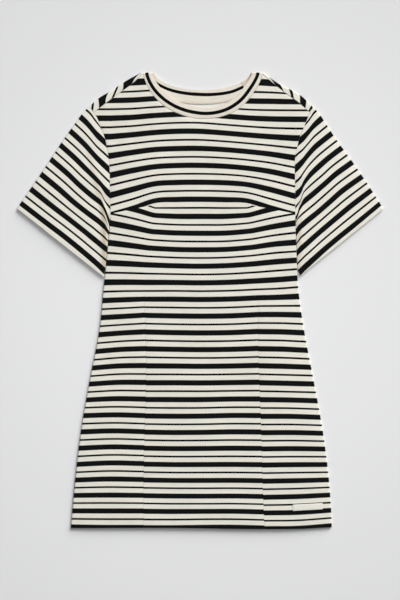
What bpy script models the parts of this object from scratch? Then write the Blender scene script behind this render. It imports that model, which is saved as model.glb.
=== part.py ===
"""Short-sleeved t-shirt dress in heavy striped jersey, laid flat with its front up.

The front faces +Z, the neck points to +Y and the hem to -Y. The underside lies on z = 0 and the
middle of the garment's outline is the origin. Every piece is a wall made from one outer surface,
whose thickness goes inwards.
"""

import math
from collections import namedtuple

import bpy
from mathutils import Vector

# Driving dimensions, in metres
CLOTH = 0.0016  # thickness of the jersey
RIB = 0.0020  # thickness of the doubled neckband
TAPE = 0.0010  # thickness of the back neck tape and of the hem label
SEAM_GAP = 0.0003  # clearance between two pieces that are sewn together
NECK_GAP = 0.0005  # the same round the neck, where the facets of both edges bend
FOLD = 0.0023  # outer radius of a folded edge, half the height of the garment there
HEM = -0.434  # height on the page of the hem
NECK_TOP = 0.433  # height on the page of the folded ends of the neckband
UNDERARM = 0.165  # height on the page of both underarm points
BUST = 0.182  # height on the page of the tips of the bust darts
FOLD_START = 0.015  # length below the underarm over which the side becomes a fold
LOFT = 0.0018  # how much the front stands up between its folded edges
BUST_FULLNESS = 0.0004  # extra height over the tip of each bust dart
BUST_SPREAD = (0.055, 0.060)  # how far that height reaches across and along
CREASE = 0.0006  # depth of the crease along a dart
CREASE_START = 0.080  # length over which a waist dart's crease sets in
BUST_CREASE_END = 0.4  # part of a bust dart's length over which its crease fades to the tip
WAIST_DARTS_TOP = 0.019  # height on the page where the long waist darts start

# Half the body, from the hem to the underarm: each row is a height on the page
BODY_COLUMNS = ("height", "left_edge", "left_line", "right_line", "right_edge")
BODY = (
    (-0.434, -0.245, -0.106, 0.123, 0.250),
    (-0.331, -0.235, -0.104, 0.119, 0.242),
    (-0.247, -0.225, -0.103, 0.117, 0.232),
    (-0.149, -0.208, -0.102, 0.114, 0.214),
    (-0.057, -0.191, -0.102, 0.111, 0.197),
    (0.019, -0.183, -0.105, 0.110, 0.187),
    (0.098, -0.176, -0.096, 0.101, 0.183),
    (0.165, -0.170, -0.087, 0.092, 0.181),
    (0.182, -0.170, -0.085, 0.090, 0.181),
)
# The armholes, from the underarm to the end of the fold over the shoulder
ARMHOLE_COLUMNS = ("height", "left", "right")
ARMHOLE = (
    (0.165, -0.170, 0.181),
    (0.209, -0.171, 0.181),
    (0.253, -0.172, 0.180),
    (0.274, -0.174, 0.181),
    (0.292, -0.177, 0.185),
    (0.309, -0.181, 0.189),
    (0.328, -0.188, 0.197),
    (0.348, -0.196, 0.205),
    (0.357, -0.202, 0.209),
    (0.366, -0.208, 0.214),
    (0.369, -0.210, 0.216),
)
# The back panel is folded to the front over each shoulder: the fold, and the shoulder seam that
# lies in front of it, both from the armhole to the neck
Shoulder = namedtuple("Shoulder", "fold seam")
SHOULDERS = {
    "left": Shoulder(
        fold=((-0.210, 0.369), (-0.193, 0.383), (-0.172, 0.395), (-0.138, 0.418), (-0.111, 0.433)),
        seam=((-0.202, 0.357), (-0.179, 0.375), (-0.152, 0.395), (-0.130, 0.411), (-0.1092, 0.430)),
    ),
    "right": Shoulder(
        fold=((0.214, 0.366), (0.196, 0.383), (0.181, 0.394), (0.147, 0.413), (0.1205, 0.433)),
        seam=((0.209, 0.357), (0.189, 0.375), (0.160, 0.396), (0.139, 0.413), (0.1187, 0.430)),
    ),
}

# The neck: superellipses round one centre
NECK_CENTRE = Vector((0.00475, 0.441))
NeckHalf = namedtuple("NeckHalf", "width depth power inner_width inner_depth")
NECK = {
    "front": NeckHalf(width=0.114, depth=0.0930, power=1.85, inner_width=0.0955, inner_depth=0.0743),
    "back": NeckHalf(width=0.114, depth=0.0587, power=2.00, inner_width=0.0950, inner_depth=0.0410),
}
NECK_CORNER = 0.0015  # how far below the band's fold the front's corners lie
BAND_RISE = 0.0002  # how far the band's folded ends stand over the shoulder's fold
BAND_LOFT = 0.0008  # how much higher its front half lies at the middle
BAND_END = 0.1  # part of the front half over which its ends come down to the fold
TAPE_WIDTH = 0.0105
TAPE_REACH = 0.80  # part of the back neck's half width that the tape covers
TAPE_DROP = 0.0006  # how far the tape starts below the neck seam
TAPE_STEPS = 24

# The sleeves: their upper fold from the armhole to the cuff, and the cuff's lower corner
Sleeve = namedtuple("Sleeve", "outward upper_fold cuff_corner tuck")
SLEEVES = {
    "left": Sleeve(
        outward=-1,
        upper_fold=((-0.210, 0.369), (-0.223, 0.355), (-0.235, 0.338), (-0.257, 0.307),
                    (-0.297, 0.247), (-0.339, 0.186), (-0.347, 0.174)),
        cuff_corner=(-0.1825, 0.044),
        tuck=((-0.191, 0.212), (-0.176, 0.150)),
    ),
    "right": Sleeve(
        outward=1,
        upper_fold=((0.214, 0.366), (0.226, 0.354), (0.239, 0.335), (0.257, 0.307),
                    (0.299, 0.247), (0.339, 0.186), (0.347, 0.172)),
        cuff_corner=(0.192, 0.0445),
        tuck=((0.198, 0.214), (0.186, 0.150)),
    ),
}
SLEEVE_LOFT = 0.0010
LOFT_START = 0.5  # part of the sleeve's length over which that loft sets in
LEAVING = 0.12  # part of the underarm seam over which the sleeve leaves the body's side
TUCK_DEPTH = 0.0009  # the sleeve's soft tuck above the underarm
TUCK_WIDTH = 0.006
TUCK_RIDGE = 0.6  # height of the ridge outside the tuck, as a part of the tuck's depth

LABEL_CENTRE = Vector((0.2047, -0.3926))
LABEL_SIZE = (0.057, 0.012)
LABEL_TURN = math.radians(3)

# Where the rows and columns of the body's grid lie
LOWER_ROWS = (
    0, 0.03, 0.1, 0.18, 0.26, 0.34, 0.42, 0.5, 0.58, 0.66, 0.74, 0.82, 0.9, 0.955, 0.975, 0.988
)
UPPER_ROWS = (0, 0.035, 0.12, 0.22, 0.32, 0.42, 0.52, 0.62, 0.72, 0.81, 0.89, 0.95, 1)
# Columns round a folded edge, as parts of its radius: how far in from the edge and how far down
# from the top they lie where the edge is folded, and how far in where it is sewn flat
Roll = namedtuple("Roll", "folded_in folded_down flat_in")
ROLL = (
    Roll(0.00, 1.00, 0.00),
    Roll(0.00, 0.84, 0.20),
    Roll(0.14, 0.48, 0.45),
    Roll(0.50, 0.13, 0.72),
)
FLAT = Roll(1.00, 0.00, 1.00)
# A column of the body's grid: the part of the body that it crosses, how far into that part it
# lies, and how it rolls over a folded edge
Column = namedtuple("Column", "part share roll")
PANEL_SHARES = (0, 0.25, 0.5, 0.75, 0.94)
HALF_MIDDLE_SHARES = (0, 0.035, 0.08, 0.13, 0.18, 0.24, 0.305, 0.37, 0.435)
MIDDLE_SHARES = HALF_MIDDLE_SHARES + (0.5,) + tuple(1 - s for s in reversed(HALF_MIDDLE_SHARES))
UNDERARM_ROWS = (0.07, 0.16, 0.32, 0.5, 0.7, 0.88, 0.94, 1)
SLEEVE_SHARES = (0.05, 0.12, 0.22, 0.34, 0.47, 0.6, 0.74, 0.88)
SEAM_LEAN = 1.25  # how much further the sleeve's rows run to cross its folded underarm edge
FOLD_ANGLES = tuple(math.radians(a) for a in (0, 30, 60, 90))  # from the top to the side
FOLD_STEPS = 5


def clear_scene():
    for obj in list(bpy.data.objects):
        bpy.data.objects.remove(obj)


def mix(a, b, share):
    return a + (b - a) * share


def smooth_step(share):
    share = min(1.0, max(0.0, share))
    return share * share * (3 - 2 * share)


def read(table, columns, column, height):
    """A column of a table at a height, on a smooth curve through its rows."""
    n = columns.index(column)
    knots = [(row[0], row[n]) for row in table]
    if height <= knots[0][0]:
        return knots[0][1]
    if height >= knots[-1][0]:
        return knots[-1][1]
    k = next(i for i in range(1, len(knots)) if height <= knots[i][0])
    (h0, v0), (h1, v1) = knots[k - 1], knots[k]
    slope = (v1 - v0) / (h1 - h0)
    before = slope if k == 1 else (v1 - knots[k - 2][1]) / (h1 - knots[k - 2][0])
    after = slope if k == len(knots) - 1 else (knots[k + 1][1] - v0) / (knots[k + 1][0] - h0)
    return hermite(v0, v1, before * (h1 - h0), after * (h1 - h0), (height - h0) / (h1 - h0))


def hermite(v0, v1, before, after, t):
    return (
        v0 * (2 * t**3 - 3 * t**2 + 1)
        + before * (t**3 - 2 * t**2 + t)
        + v1 * (3 * t**2 - 2 * t**3)
        + after * (t**3 - t**2)
    )


def point_on(points, share):
    """The point at a share of the length of a smooth curve through some points."""
    points = [Vector(p) for p in points]
    reached = [0.0]
    for a, b in zip(points, points[1:]):
        reached.append(reached[-1] + (b - a).length)
    table = [(r, p.x, p.y) for r, p in zip(reached, points)]
    columns = ("reached", "x", "y")
    distance = share * reached[-1]
    return Vector((read(table, columns, "x", distance), read(table, columns, "y", distance)))


def neck_point(half, angle, wider=0.0, inner=False):
    """A point on the neck's outer or inner curve; the angle runs from the left end to the right."""
    shape = NECK[half]
    width = (shape.inner_width if inner else shape.width) + wider
    depth = (shape.inner_depth if inner else shape.depth) + wider
    power = 2 / shape.power
    across = math.copysign(abs(math.cos(angle)) ** power, math.cos(angle))
    return NECK_CENTRE + Vector((-width * across, -depth * math.sin(angle) ** power))


def neck_start(half, wider=0.0, inner=False, lower=0.0):
    """The angle at which a neck curve leaves the shoulder's fold, or a point lower than it."""
    shape = NECK[half]
    depth = (shape.inner_depth if inner else shape.depth) + wider
    drop = NECK_CENTRE.y - NECK_TOP + FOLD + BAND_RISE / 2 + lower
    return math.asin((drop / depth) ** (shape.power / 2))


def body_columns():
    left = [edge_column("left", roll) for roll in ROLL]
    left += [Column("left", share, FLAT) for share in PANEL_SHARES]
    middle = [Column("middle", share, FLAT) for share in MIDDLE_SHARES]
    right = [Column("right", share, FLAT) for share in reversed(PANEL_SHARES)]
    right += [edge_column("right", roll) for roll in reversed(ROLL)]
    return left + middle + right


def edge_column(part, roll=ROLL[0]):
    return Column(part, 0.0, roll)


def folded(height):
    """How far the side of the body is folded at a height: not at all along the armhole."""
    return smooth_step((UNDERARM - height) / FOLD_START)


def rolled_in(roll, height):
    """How far in from the edge a column of the roll lies, as a part of the fold's radius."""
    turned = 1 - (1 - folded(height)) ** 3
    return mix(roll.flat_in, roll.folded_in, turned)


def inset(column, width, height):
    """How far a column of a side part lies from the edge."""
    return FOLD * rolled_in(column.roll, height) + column.share * (width - FOLD)


def bust_height(column):
    return BUST if column.part == "middle" else mix(UNDERARM, BUST, column.share)


def lower_point(column, share):
    height = mix(HEM, bust_height(column), share)
    place = {name: read(BODY, BODY_COLUMNS, name, height) for name in BODY_COLUMNS[1:]}
    if column.part == "middle":
        return Vector((mix(place["left_line"], place["right_line"], column.share), height))
    edge, line = place[column.part + "_edge"], place[column.part + "_line"]
    distance = inset(column, abs(line - edge), height)
    return Vector((edge + math.copysign(distance, line - edge), height))


def shoulder_points(column):
    """Where a column of a side part crosses the fold over the shoulder, and the shoulder seam."""
    fold, seam = SHOULDERS[column.part]
    width = abs(seam[-1][0] - seam[0][0])
    share = inset(column, width, seam[0][1]) / width
    return point_on(fold, share), point_on(seam, share)


def top_point(column, half):
    """Where a column ends: at the neck, or beside the shoulder seam."""
    if column.part == "middle":
        start = neck_start(half, NECK_GAP, lower=NECK_CORNER if half == "front" else 0.0)
        return neck_point(half, mix(start, math.pi - start, column.share), NECK_GAP)
    fold_point, seam_point = shoulder_points(column)
    inward = (seam_point - fold_point).normalized()
    return seam_point + inward * SEAM_GAP if half == "front" else fold_point + inward * FOLD


def upper_point(column, share, half):
    point = mix(lower_point(column, 1), top_point(column, half), share)
    if column.part != "middle":
        edge = edge_column(column.part)
        straight = mix(lower_point(edge, 1), top_point(edge, half), share)
        bend = read(ARMHOLE, ARMHOLE_COLUMNS, column.part, straight.y) - straight.x
        point.x += bend * (1 - column.share) ** 2
    return point


def roll_drop(roll, height):
    """How far a column lies from the flat surface, towards the middle of the thickness."""
    return (FOLD - SEAM_GAP / 2) * roll.folded_down * folded(height)


def front_height(x, y):
    """Height of the front's outer surface over the floor, without its creases."""
    lowest = min(y, UNDERARM)
    left = read(BODY, BODY_COLUMNS, "left_edge", lowest)
    right = read(BODY, BODY_COLUMNS, "right_edge", lowest)
    across = (x - (left + right) / 2) / ((right - left) / 2 - FOLD)
    height = 2 * FOLD + LOFT * (1 - min(1.0, abs(across)) ** 4)
    for line in ("left_line", "right_line"):
        tip = Vector((read(BODY, BODY_COLUMNS, line, BUST), BUST))
        away = Vector(((x - tip.x) / BUST_SPREAD[0], (y - tip.y) / BUST_SPREAD[1]))
        height += BUST_FULLNESS * math.exp(-away.length_squared)
    return height


def crease(column, y, on_bust_line):
    if column.part == "middle" and column.share in (0, 1):
        return CREASE * smooth_step((WAIST_DARTS_TOP - y) / CREASE_START)
    if on_bust_line and column.part != "middle":
        return CREASE * smooth_step((1 - column.share) / BUST_CREASE_END)
    return 0.0


def front_rows():
    rows = []
    columns = body_columns()
    for share in LOWER_ROWS:
        row = []
        for column in columns:
            p = lower_point(column, share)
            z = front_height(p.x, p.y) - crease(column, p.y, False)
            row.append((p.x, p.y, z - roll_drop(column.roll, p.y)))
        rows.append(row)
    for share in UPPER_ROWS:
        row = []
        for column in columns:
            p = upper_point(column, share, "front")
            middle = column.part == "middle"
            kept = math.sqrt(math.sin(math.pi * column.share)) / 2 if middle else 0.0
            full = front_height(p.x, p.y) - 2 * FOLD
            z = 2 * FOLD + full * (1 - share**3 * (1 - kept)) - crease(column, p.y, share == 0)
            row.append((p.x, p.y, z))
        rows.append(row)
    return rows


def back_upper_shares():
    """The front's rows, which end lower at the armhole, and one more up to the fold."""
    ends = [top_point(edge_column("left"), half).y - UNDERARM for half in ("front", "back")]
    return [share * ends[0] / ends[1] for share in UPPER_ROWS] + [1]


def back_rows():
    """The back's underside, from the hem up, and then its strips over the shoulders."""
    columns = body_columns()
    rows = []
    for share in LOWER_ROWS:
        points = [lower_point(column, share) for column in columns]
        rows.append([(p.x, p.y, roll_drop(c.roll, p.y)) for c, p in zip(columns, points)])
    for share in back_upper_shares():
        points = [upper_point(column, share, "back") for column in columns]
        rows.append([(p.x, p.y, 0.0) for p in points])
    for step in range(1, FOLD_STEPS + 2):
        rows.append([shoulder_wrap(column, step) for column in columns])
    return rows


def shoulder_wrap(column, step):
    """A point of the strip over a shoulder, which ends beside the neckband."""
    if column.part == "middle" and column.share in (0, 1):
        column = Column("left" if column.share == 0 else "right", 1.0, FLAT)
    if column.part == "middle":
        return None
    fold_point, seam_point = shoulder_points(column)
    if step > FOLD_STEPS:
        return (seam_point.x, seam_point.y, 2 * FOLD)
    angle = math.pi * step / FOLD_STEPS
    p = fold_point + (seam_point - fold_point).normalized() * FOLD * (1 - math.sin(angle))
    return (p.x, p.y, FOLD * (1 - math.cos(angle)))


def sleeve_edges(side):
    """The sleeve's two long edges on the page, each as a function of its own share.

    The upper fold runs from the shoulder to the cuff. Opposite it, the inner edge runs down the
    armhole and on down the underarm seam, beside the body.
    """
    sleeve = SLEEVES[side]
    corner = Vector(sleeve.cuff_corner)
    gap = Vector((sleeve.outward * SEAM_GAP, 0))
    seam_end = SHOULDERS[side].seam[0][1]

    def upper(share):
        return point_on(sleeve.upper_fold, share) + gap * 2 * (1 - share)

    def inner(share):
        height = mix(seam_end, corner.y, share)
        if height >= UNDERARM:
            return Vector((read(ARMHOLE, ARMHOLE_COLUMNS, side, height), height)) + gap
        beside = read(BODY, BODY_COLUMNS, side + "_edge", height)
        at_corner = corner.x - read(BODY, BODY_COLUMNS, side + "_edge", corner.y)
        to_corner = (height - corner.y) / (UNDERARM - corner.y)
        leaving = smooth_step(1 - to_corner / LEAVING)
        return Vector((beside + mix(gap.x, at_corner, leaving), height))

    return upper, inner


def sleeve_point(edges, down, across):
    """A point between the edges: down from shoulder to cuff, across from upper fold to body."""
    upper, inner = edges
    return mix(upper(down), inner(down), across)


def tuck_height(side, p):
    a, b = (Vector(end) for end in SLEEVES[side].tuck)
    along = min(1.0, max(0.0, (p - a).dot(b - a) / (b - a).length_squared))
    away = (p - mix(a, b, along)).length
    outer = abs(p.x) > abs(mix(a, b, along).x)
    trough = -TUCK_DEPTH * math.exp(-((away / TUCK_WIDTH) ** 2))
    ridge = TUCK_RIDGE * TUCK_DEPTH * math.exp(-(((away - 2 * TUCK_WIDTH) / TUCK_WIDTH) ** 2))
    return (trough + (ridge if outer else 0.0)) * math.sin(math.pi * (0.25 + 0.75 * along))


def sleeve_shares(side):
    """Shares of the inner edge that face the front's rows, and then rows down to the cuff."""
    seam_end = SHOULDERS[side].seam[0][1]
    inner_length = seam_end - SLEEVES[side].cuff_corner[1]
    front_end = top_point(edge_column(side), "front").y
    heights = [mix(UNDERARM, front_end, share) for share in UPPER_ROWS]
    armhole = [(seam_end - height) / inner_length for height in reversed(heights)]
    return [0.0] + armhole[1:] + [mix(armhole[-1], 1, share) for share in UNDERARM_ROWS]


def sleeve_rows(side):
    """The sleeve's outer surface, round from the underarm seam over the front to the back."""
    edges = sleeve_edges(side)
    rows = []
    for down in sleeve_shares(side):
        length = (sleeve_point(edges, down, 1) - sleeve_point(edges, down, 0)).length
        height = edges[1](down).y
        fold_share, seam_share = FOLD / length, FOLD * SEAM_LEAN / length
        across = []
        for roll in ROLL + (FLAT,):
            place = 1 - seam_share * rolled_in(roll, height)
            across.append((place, FOLD - roll_drop(roll, height), 0.0))
        for share in SLEEVE_SHARES:
            across.append((mix(1 - seam_share, fold_share, share), FOLD, share))
        for angle in FOLD_ANGLES:
            across.append((fold_share * (1 - math.sin(angle)), FOLD * math.cos(angle), 0.0))
        row = []
        for place, rise, flat in across:
            p = sleeve_point(edges, down, place)
            loft = SLEEVE_LOFT * math.sqrt(4 * flat * (1 - flat)) * smooth_step(down / LOFT_START)
            if rise == FOLD:
                loft += tuck_height(side, p) * smooth_step((1 - place) * length / TUCK_WIDTH)
            row.append((p.x, p.y, FOLD + rise + loft))
        for place, rise, flat in reversed(across[:-1]):
            p = sleeve_point(edges, down, place)
            row.append((p.x, p.y, FOLD - rise))
        rows.append(row)
    return rows


def band_height(angle):
    return 2 * FOLD + BAND_RISE + BAND_LOFT * math.sqrt(max(0.0, math.sin(angle)))


def band_stations():
    """Pairs of an inner and an outer point, round the neck and back to the start."""
    stations = []
    radius = FOLD + BAND_RISE / 2
    ends = {}
    for half in ("front", "back"):
        starts = [neck_start(half, inner=True), neck_start(half, NECK_GAP)]
        pairs = []
        for share in MIDDLE_SHARES:
            angles = [mix(start, math.pi - start, share) for start in starts]
            inner = neck_point(half, angles[0], inner=True)
            outer = neck_point(half, angles[1])
            end = smooth_step(min(share, 1 - share) / BAND_END)
            z = mix(2 * radius, band_height(angles[1]), end) if half == "front" else 0.0
            pairs.append(((inner.x, inner.y, z), (outer.x, outer.y, z)))
        ends[half] = pairs
    turns = [math.pi * k / FOLD_STEPS for k in range(1, FOLD_STEPS)]
    stations += ends["front"]
    stations += [fold_pair(ends["front"][-1], ends["back"][-1], a, radius) for a in turns]
    stations += list(reversed(ends["back"]))
    stations += [fold_pair(ends["back"][0], ends["front"][0], a, radius) for a in turns]
    return stations


def fold_pair(leaving, arriving, angle, radius):
    pair = []
    upwards = arriving[0][2] > leaving[0][2]
    for a, b in zip(leaving, arriving):
        share = angle / math.pi
        y = mix(a[1], b[1], share) + radius * math.sin(angle)
        turned = -math.cos(angle) if upwards else math.cos(angle)
        pair.append((mix(a[0], b[0], share), y, radius * (1 + turned)))
    return tuple(pair)


def tape_rows():
    """The tape's upper side, on the inside of the back along the neck seam."""
    z = CLOTH + SEAM_GAP + TAPE
    half = math.acos(TAPE_REACH)
    rows = []
    for k in range(TAPE_STEPS + 1):
        angle = mix(half, math.pi - half, k / TAPE_STEPS)
        rows.append([(*neck_point("back", angle, d), z) for d in (TAPE_DROP, TAPE_DROP + TAPE_WIDTH)])
    return rows


def label_rows():
    turn = Vector((math.cos(LABEL_TURN), math.sin(LABEL_TURN)))
    up = Vector((-turn.y, turn.x))
    rows = []
    for j in (-0.5, 0.5):
        row = []
        for i in (-0.5, -0.25, 0, 0.25, 0.5):
            p = LABEL_CENTRE + turn * i * LABEL_SIZE[0] + up * j * LABEL_SIZE[1]
            row.append((p.x, p.y, front_height(p.x, p.y) + SEAM_GAP + TAPE))
        rows.append(row)
    return rows


def cloth_material(name, colour, roughness):
    material = bpy.data.materials.new(name)
    material.use_nodes = True
    shader = material.node_tree.nodes["Principled BSDF"]
    shader.inputs["Base Color"].default_value = (*colour, 1)
    shader.inputs["Roughness"].default_value = roughness
    shader.inputs["Metallic"].default_value = 0.0
    return material


def wall(name, rows, thickness, colour, facing, closed=False):
    """A wall under a grid of points, whose last row is joined to the first where it is closed."""
    mesh = bpy.data.meshes.new(name)
    points, index = [], {}
    for i, row in enumerate(rows):
        for j, point in enumerate(row):
            if point is not None:
                index[i, j] = len(points)
                points.append(point)
    faces = []
    for i in range(len(rows) if closed else len(rows) - 1):
        for j in range(len(rows[0]) - 1):
            ahead = (i + 1) % len(rows)
            corners = [(i, j), (i, j + 1), (ahead, j + 1), (ahead, j)]
            if all(c in index for c in corners):
                face = [index[c] for c in corners]
                faces.append(face if facing > 0 else face[::-1])
    mesh.from_pydata(points, [], faces)
    mesh.validate()
    mesh.materials.append(cloth_material(name + "_cloth", colour, 0.9))
    piece = bpy.data.objects.new(name, mesh)
    bpy.context.scene.collection.objects.link(piece)
    solid = piece.modifiers.new("thickness", "SOLIDIFY")
    solid.thickness = thickness
    solid.offset = -1
    mesh.shade_smooth()
    return piece


CREAM = (0.79, 0.76, 0.67)
STRIPED = (0.52, 0.50, 0.45)

clear_scene()
wall("back", back_rows(), CLOTH, STRIPED, facing=-1)
wall("front", front_rows(), CLOTH, STRIPED, facing=1)
wall("sleeve_left", sleeve_rows("left"), CLOTH, STRIPED, facing=1)
wall("sleeve_right", sleeve_rows("right"), CLOTH, STRIPED, facing=-1)
wall("neckband", band_stations(), RIB, CREAM, facing=1, closed=True)
wall("back_neck_tape", tape_rows(), TAPE, CREAM, facing=1)
wall("hem_label", label_rows(), TAPE, CREAM, facing=1)
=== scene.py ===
import math

import bpy
import numpy as np
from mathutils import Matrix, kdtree


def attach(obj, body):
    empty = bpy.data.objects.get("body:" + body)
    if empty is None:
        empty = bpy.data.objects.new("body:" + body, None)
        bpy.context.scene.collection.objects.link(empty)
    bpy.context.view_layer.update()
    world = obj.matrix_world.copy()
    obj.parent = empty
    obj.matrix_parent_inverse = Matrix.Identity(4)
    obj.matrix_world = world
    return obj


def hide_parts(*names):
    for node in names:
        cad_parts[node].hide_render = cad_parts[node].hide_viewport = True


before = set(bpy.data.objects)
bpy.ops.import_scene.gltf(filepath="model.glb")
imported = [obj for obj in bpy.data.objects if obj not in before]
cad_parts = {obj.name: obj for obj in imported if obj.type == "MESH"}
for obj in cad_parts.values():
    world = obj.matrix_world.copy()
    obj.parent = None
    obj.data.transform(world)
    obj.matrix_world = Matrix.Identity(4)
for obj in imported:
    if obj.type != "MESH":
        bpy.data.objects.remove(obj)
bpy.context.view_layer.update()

print("frame loaded:", sorted(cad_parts))


# smooth curves and small helpers


def readCurve(places, values, at):
    # a smooth curve through (place, value) knots, read at many places and held at both ends
    places, values = np.asarray(places, float), np.asarray(values, float)
    at = np.clip(np.asarray(at, float), places[0], places[-1])
    slopes = np.diff(values) / np.diff(places)
    inner = (values[2:] - values[:-2]) / (places[2:] - places[:-2])
    tangents = np.concatenate((slopes[:1], inner, slopes[-1:]))
    k = np.clip(np.searchsorted(places, at), 1, len(places) - 1)
    gap = places[k] - places[k - 1]
    t = (at - places[k - 1]) / gap
    start = values[k - 1] * (2 * t**3 - 3 * t**2 + 1) + tangents[k - 1] * gap * (t**3 - 2 * t**2 + t)
    end = values[k] * (3 * t**2 - 2 * t**3) + tangents[k] * gap * (t**3 - t**2)
    return start + end


def readTable(table, at):
    # the same through rows of place and value
    return readCurve(*np.array(table).T, at)


def curveWeights(places, at):
    # how much of each knot's value the curve takes at each place, so that whole tables are read at once
    units = np.eye(len(places))
    return np.stack([readCurve(places, unit, at) for unit in units], axis=-1)


def runningLength(points):
    steps = np.linalg.norm(np.diff(points, axis=0), axis=-1)
    return np.concatenate(([0.0], np.cumsum(steps)))


def pointOn(points, share):
    # the points at shares of the length of a smooth curve on the page
    points = np.asarray(points, float)
    reached = runningLength(points)
    at = np.asarray(share, float) * reached[-1]
    return np.stack([readCurve(reached, points[:, axis], at) for axis in (0, 1)], axis=-1)


def mix(a, b, share):
    return a + (b - a) * share


def smoothStep(value):
    value = np.clip(value, 0.0, 1.0)
    return value * value * (3 - 2 * value)


def easeFrom(value, start, length):
    return smoothStep((value - start) / length)


def bump(distance, width):
    return np.exp(-((distance / width) ** 2))


def tent(distance, reach):
    return np.clip(1 - np.abs(distance) / reach, 0, 1)


def unit(vectors):
    return vectors / np.linalg.norm(vectors, axis=-1, keepdims=True)


def evenShares(length, step):
    return np.linspace(0, 1, max(2, round(length / step) + 1))


# the garment's form, close to that of the solids

garment = {
    "hem": -0.434,
    "neckTop": 0.433,
    "underarm": 0.165,
    "bust": 0.182,
    "foldRadius": 0.0023,
    "foldStart": 0.015,
    "seamGap": 0.0003,
    "neckGap": 0.0005,
    "loft": 0.0018,
    "bustFullness": 0.0004,
    "bustSpread": (0.055, 0.060),
    "backWall": 0.0016,  # how thick the solid under the tape is
    # height on the page, left edge, left dart line, right dart line, right edge
    "body": (
        (-0.434, -0.2455, -0.1077, 0.1222, 0.2505),
        (-0.399, -0.2427, -0.1078, 0.1210, 0.2494),
        (-0.331, -0.2363, -0.1072, 0.1184, 0.2441),
        (-0.247, -0.2261, -0.1052, 0.1163, 0.2333),
        (-0.149, -0.2092, -0.1022, 0.1124, 0.2155),
        (-0.057, -0.1915, -0.1035, 0.1100, 0.1980),
        (0.019, -0.1838, -0.105, 0.110, 0.1873),
        (0.098, -0.176, -0.096, 0.101, 0.183),
        (0.165, -0.170, -0.087, 0.092, 0.181),
        (0.182, -0.170, -0.085, 0.090, 0.181),
    ),
    # height on the page, left armhole, right armhole
    "armholes": (
        (0.165, -0.170, 0.181),
        (0.209, -0.171, 0.181),
        (0.253, -0.172, 0.180),
        (0.274, -0.174, 0.181),
        (0.292, -0.177, 0.185),
        (0.309, -0.181, 0.189),
        (0.328, -0.188, 0.197),
        (0.348, -0.196, 0.205),
        (0.357, -0.202, 0.209),
        (0.366, -0.208, 0.214),
        (0.369, -0.210, 0.216),
    ),
    "shoulderFolds": {
        "left": ((-0.210, 0.369), (-0.1934, 0.3838), (-0.1726, 0.3962), (-0.1384, 0.4184), (-0.1118, 0.433)),
        "right": ((0.2148, 0.3670), (0.1974, 0.3847), (0.1820, 0.3954), (0.1472, 0.4134), (0.1205, 0.433)),
    },
    "shoulderSeams": {
        "left": ((-0.202, 0.357), (-0.179, 0.375), (-0.152, 0.395), (-0.130, 0.411), (-0.1092, 0.430)),
        "right": ((0.209, 0.357), (0.189, 0.375), (0.160, 0.396), (0.139, 0.413), (0.1187, 0.430)),
    },
    "neckCentre": (0.00475, 0.441),
    "neckCornerDrop": 0.0015,
    # place across the page, and how far above the straight line the laid hem lies there
    "hemLift": ((-0.250, 0.0012), (-0.113, 0.0017), (-0.018, 0.0013), (0.058, -0.0001),
                (0.134, -0.0006), (0.191, -0.0002), (0.229, 0.0017), (0.250, 0.0028)),
    "hemReach": 0.09,
}
jerseySizes = {"thickness": 0.0014, "rounding": 0.00050}  # rounding is how far the edges are rounded
fold = garment["foldRadius"]
bodyTable = np.array(garment["body"])
armholeTable = np.array(garment["armholes"])
bodyColumn = {"leftEdge": 1, "leftLine": 2, "rightLine": 3, "rightEdge": 4}
armholeColumn = {"left": 1, "right": 2}
darts = (("leftEdge", "leftLine"), ("rightEdge", "rightLine"))  # the lines that each pair of darts joins


def bodyLine(name, height):
    return readCurve(bodyTable[:, 0], bodyTable[:, bodyColumn[name]], height)


def armhole(side, height):
    return readCurve(armholeTable[:, 0], armholeTable[:, armholeColumn[side]], height)


def hemLift(x, y):
    return readTable(garment["hemLift"], x) * (1 - easeFrom(y, garment["hem"], garment["hemReach"]))


def alongBustDart(edge, line, x, y):
    # for each place: its share of the way from the side seam to the dart's tip, and how far above it is
    side, tip = bodyLine(edge, garment["underarm"]), bodyLine(line, garment["bust"])
    along = (x - side) / (tip - side)
    return along, y - mix(garment["underarm"], garment["bust"], along)


neckHalves = {  # half widths and depths of the seam and of the free edge, and the curve's squareness
    "front": {"width": 0.114, "depth": 0.0930, "power": 1.85, "innerWidth": 0.0955, "innerDepth": 0.0743},
    "back": {"width": 0.114, "depth": 0.0587, "power": 2.00, "innerWidth": 0.0950, "innerDepth": 0.0410},
}
neckEase = {  # how far outside that curve the front half lies: degrees from its lowest point, and mm
    "seam": ((-90, 0), (-80, 0), (-56, 1.9), (-45, 3.0), (-22, 2.7), (0, 3.1), (17, 4.4), (30, 5.2),
             (41, 5.0), (52, 3.4), (65, 0.6), (79, 0.8), (88, 0), (90, 0)),
    "edge": ((-90, 0), (-10, 0), (4, 1.1), (16, 2.2), (30, 2.7), (40, 2.2), (52, 0.7), (64, -1.8),
             (72, -2.1), (82, -0.8), (90, 0)),
}
bandRise = 0.0002


def neckPoint(half, angle, wider=0.0, inner=0.0):
    # inner runs from 0 at the neck seam to 1 at the band's free edge
    shape = neckHalves[half]
    width = mix(shape["width"], shape["innerWidth"], inner) + wider
    depth = mix(shape["depth"], shape["innerDepth"], inner) + wider
    power = 2 / shape["power"]
    across = np.sign(np.cos(angle)) * np.abs(np.cos(angle)) ** power
    centre = garment["neckCentre"]
    rise = np.abs(np.sin(angle)) ** power
    away = np.stack([-width * across, -depth * rise], axis=-1)
    if half == "front":
        turn = np.degrees(np.arctan2(away[..., 0], -away[..., 1]))
        seam, edge = (readTable(neckEase[line], turn) for line in ("seam", "edge"))
        away = away + unit(away) * mix(seam, edge, inner)[..., None] / 1000
    return away + centre


def neckAngles(start, count):
    return np.linspace(start, math.pi - start, count)


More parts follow.
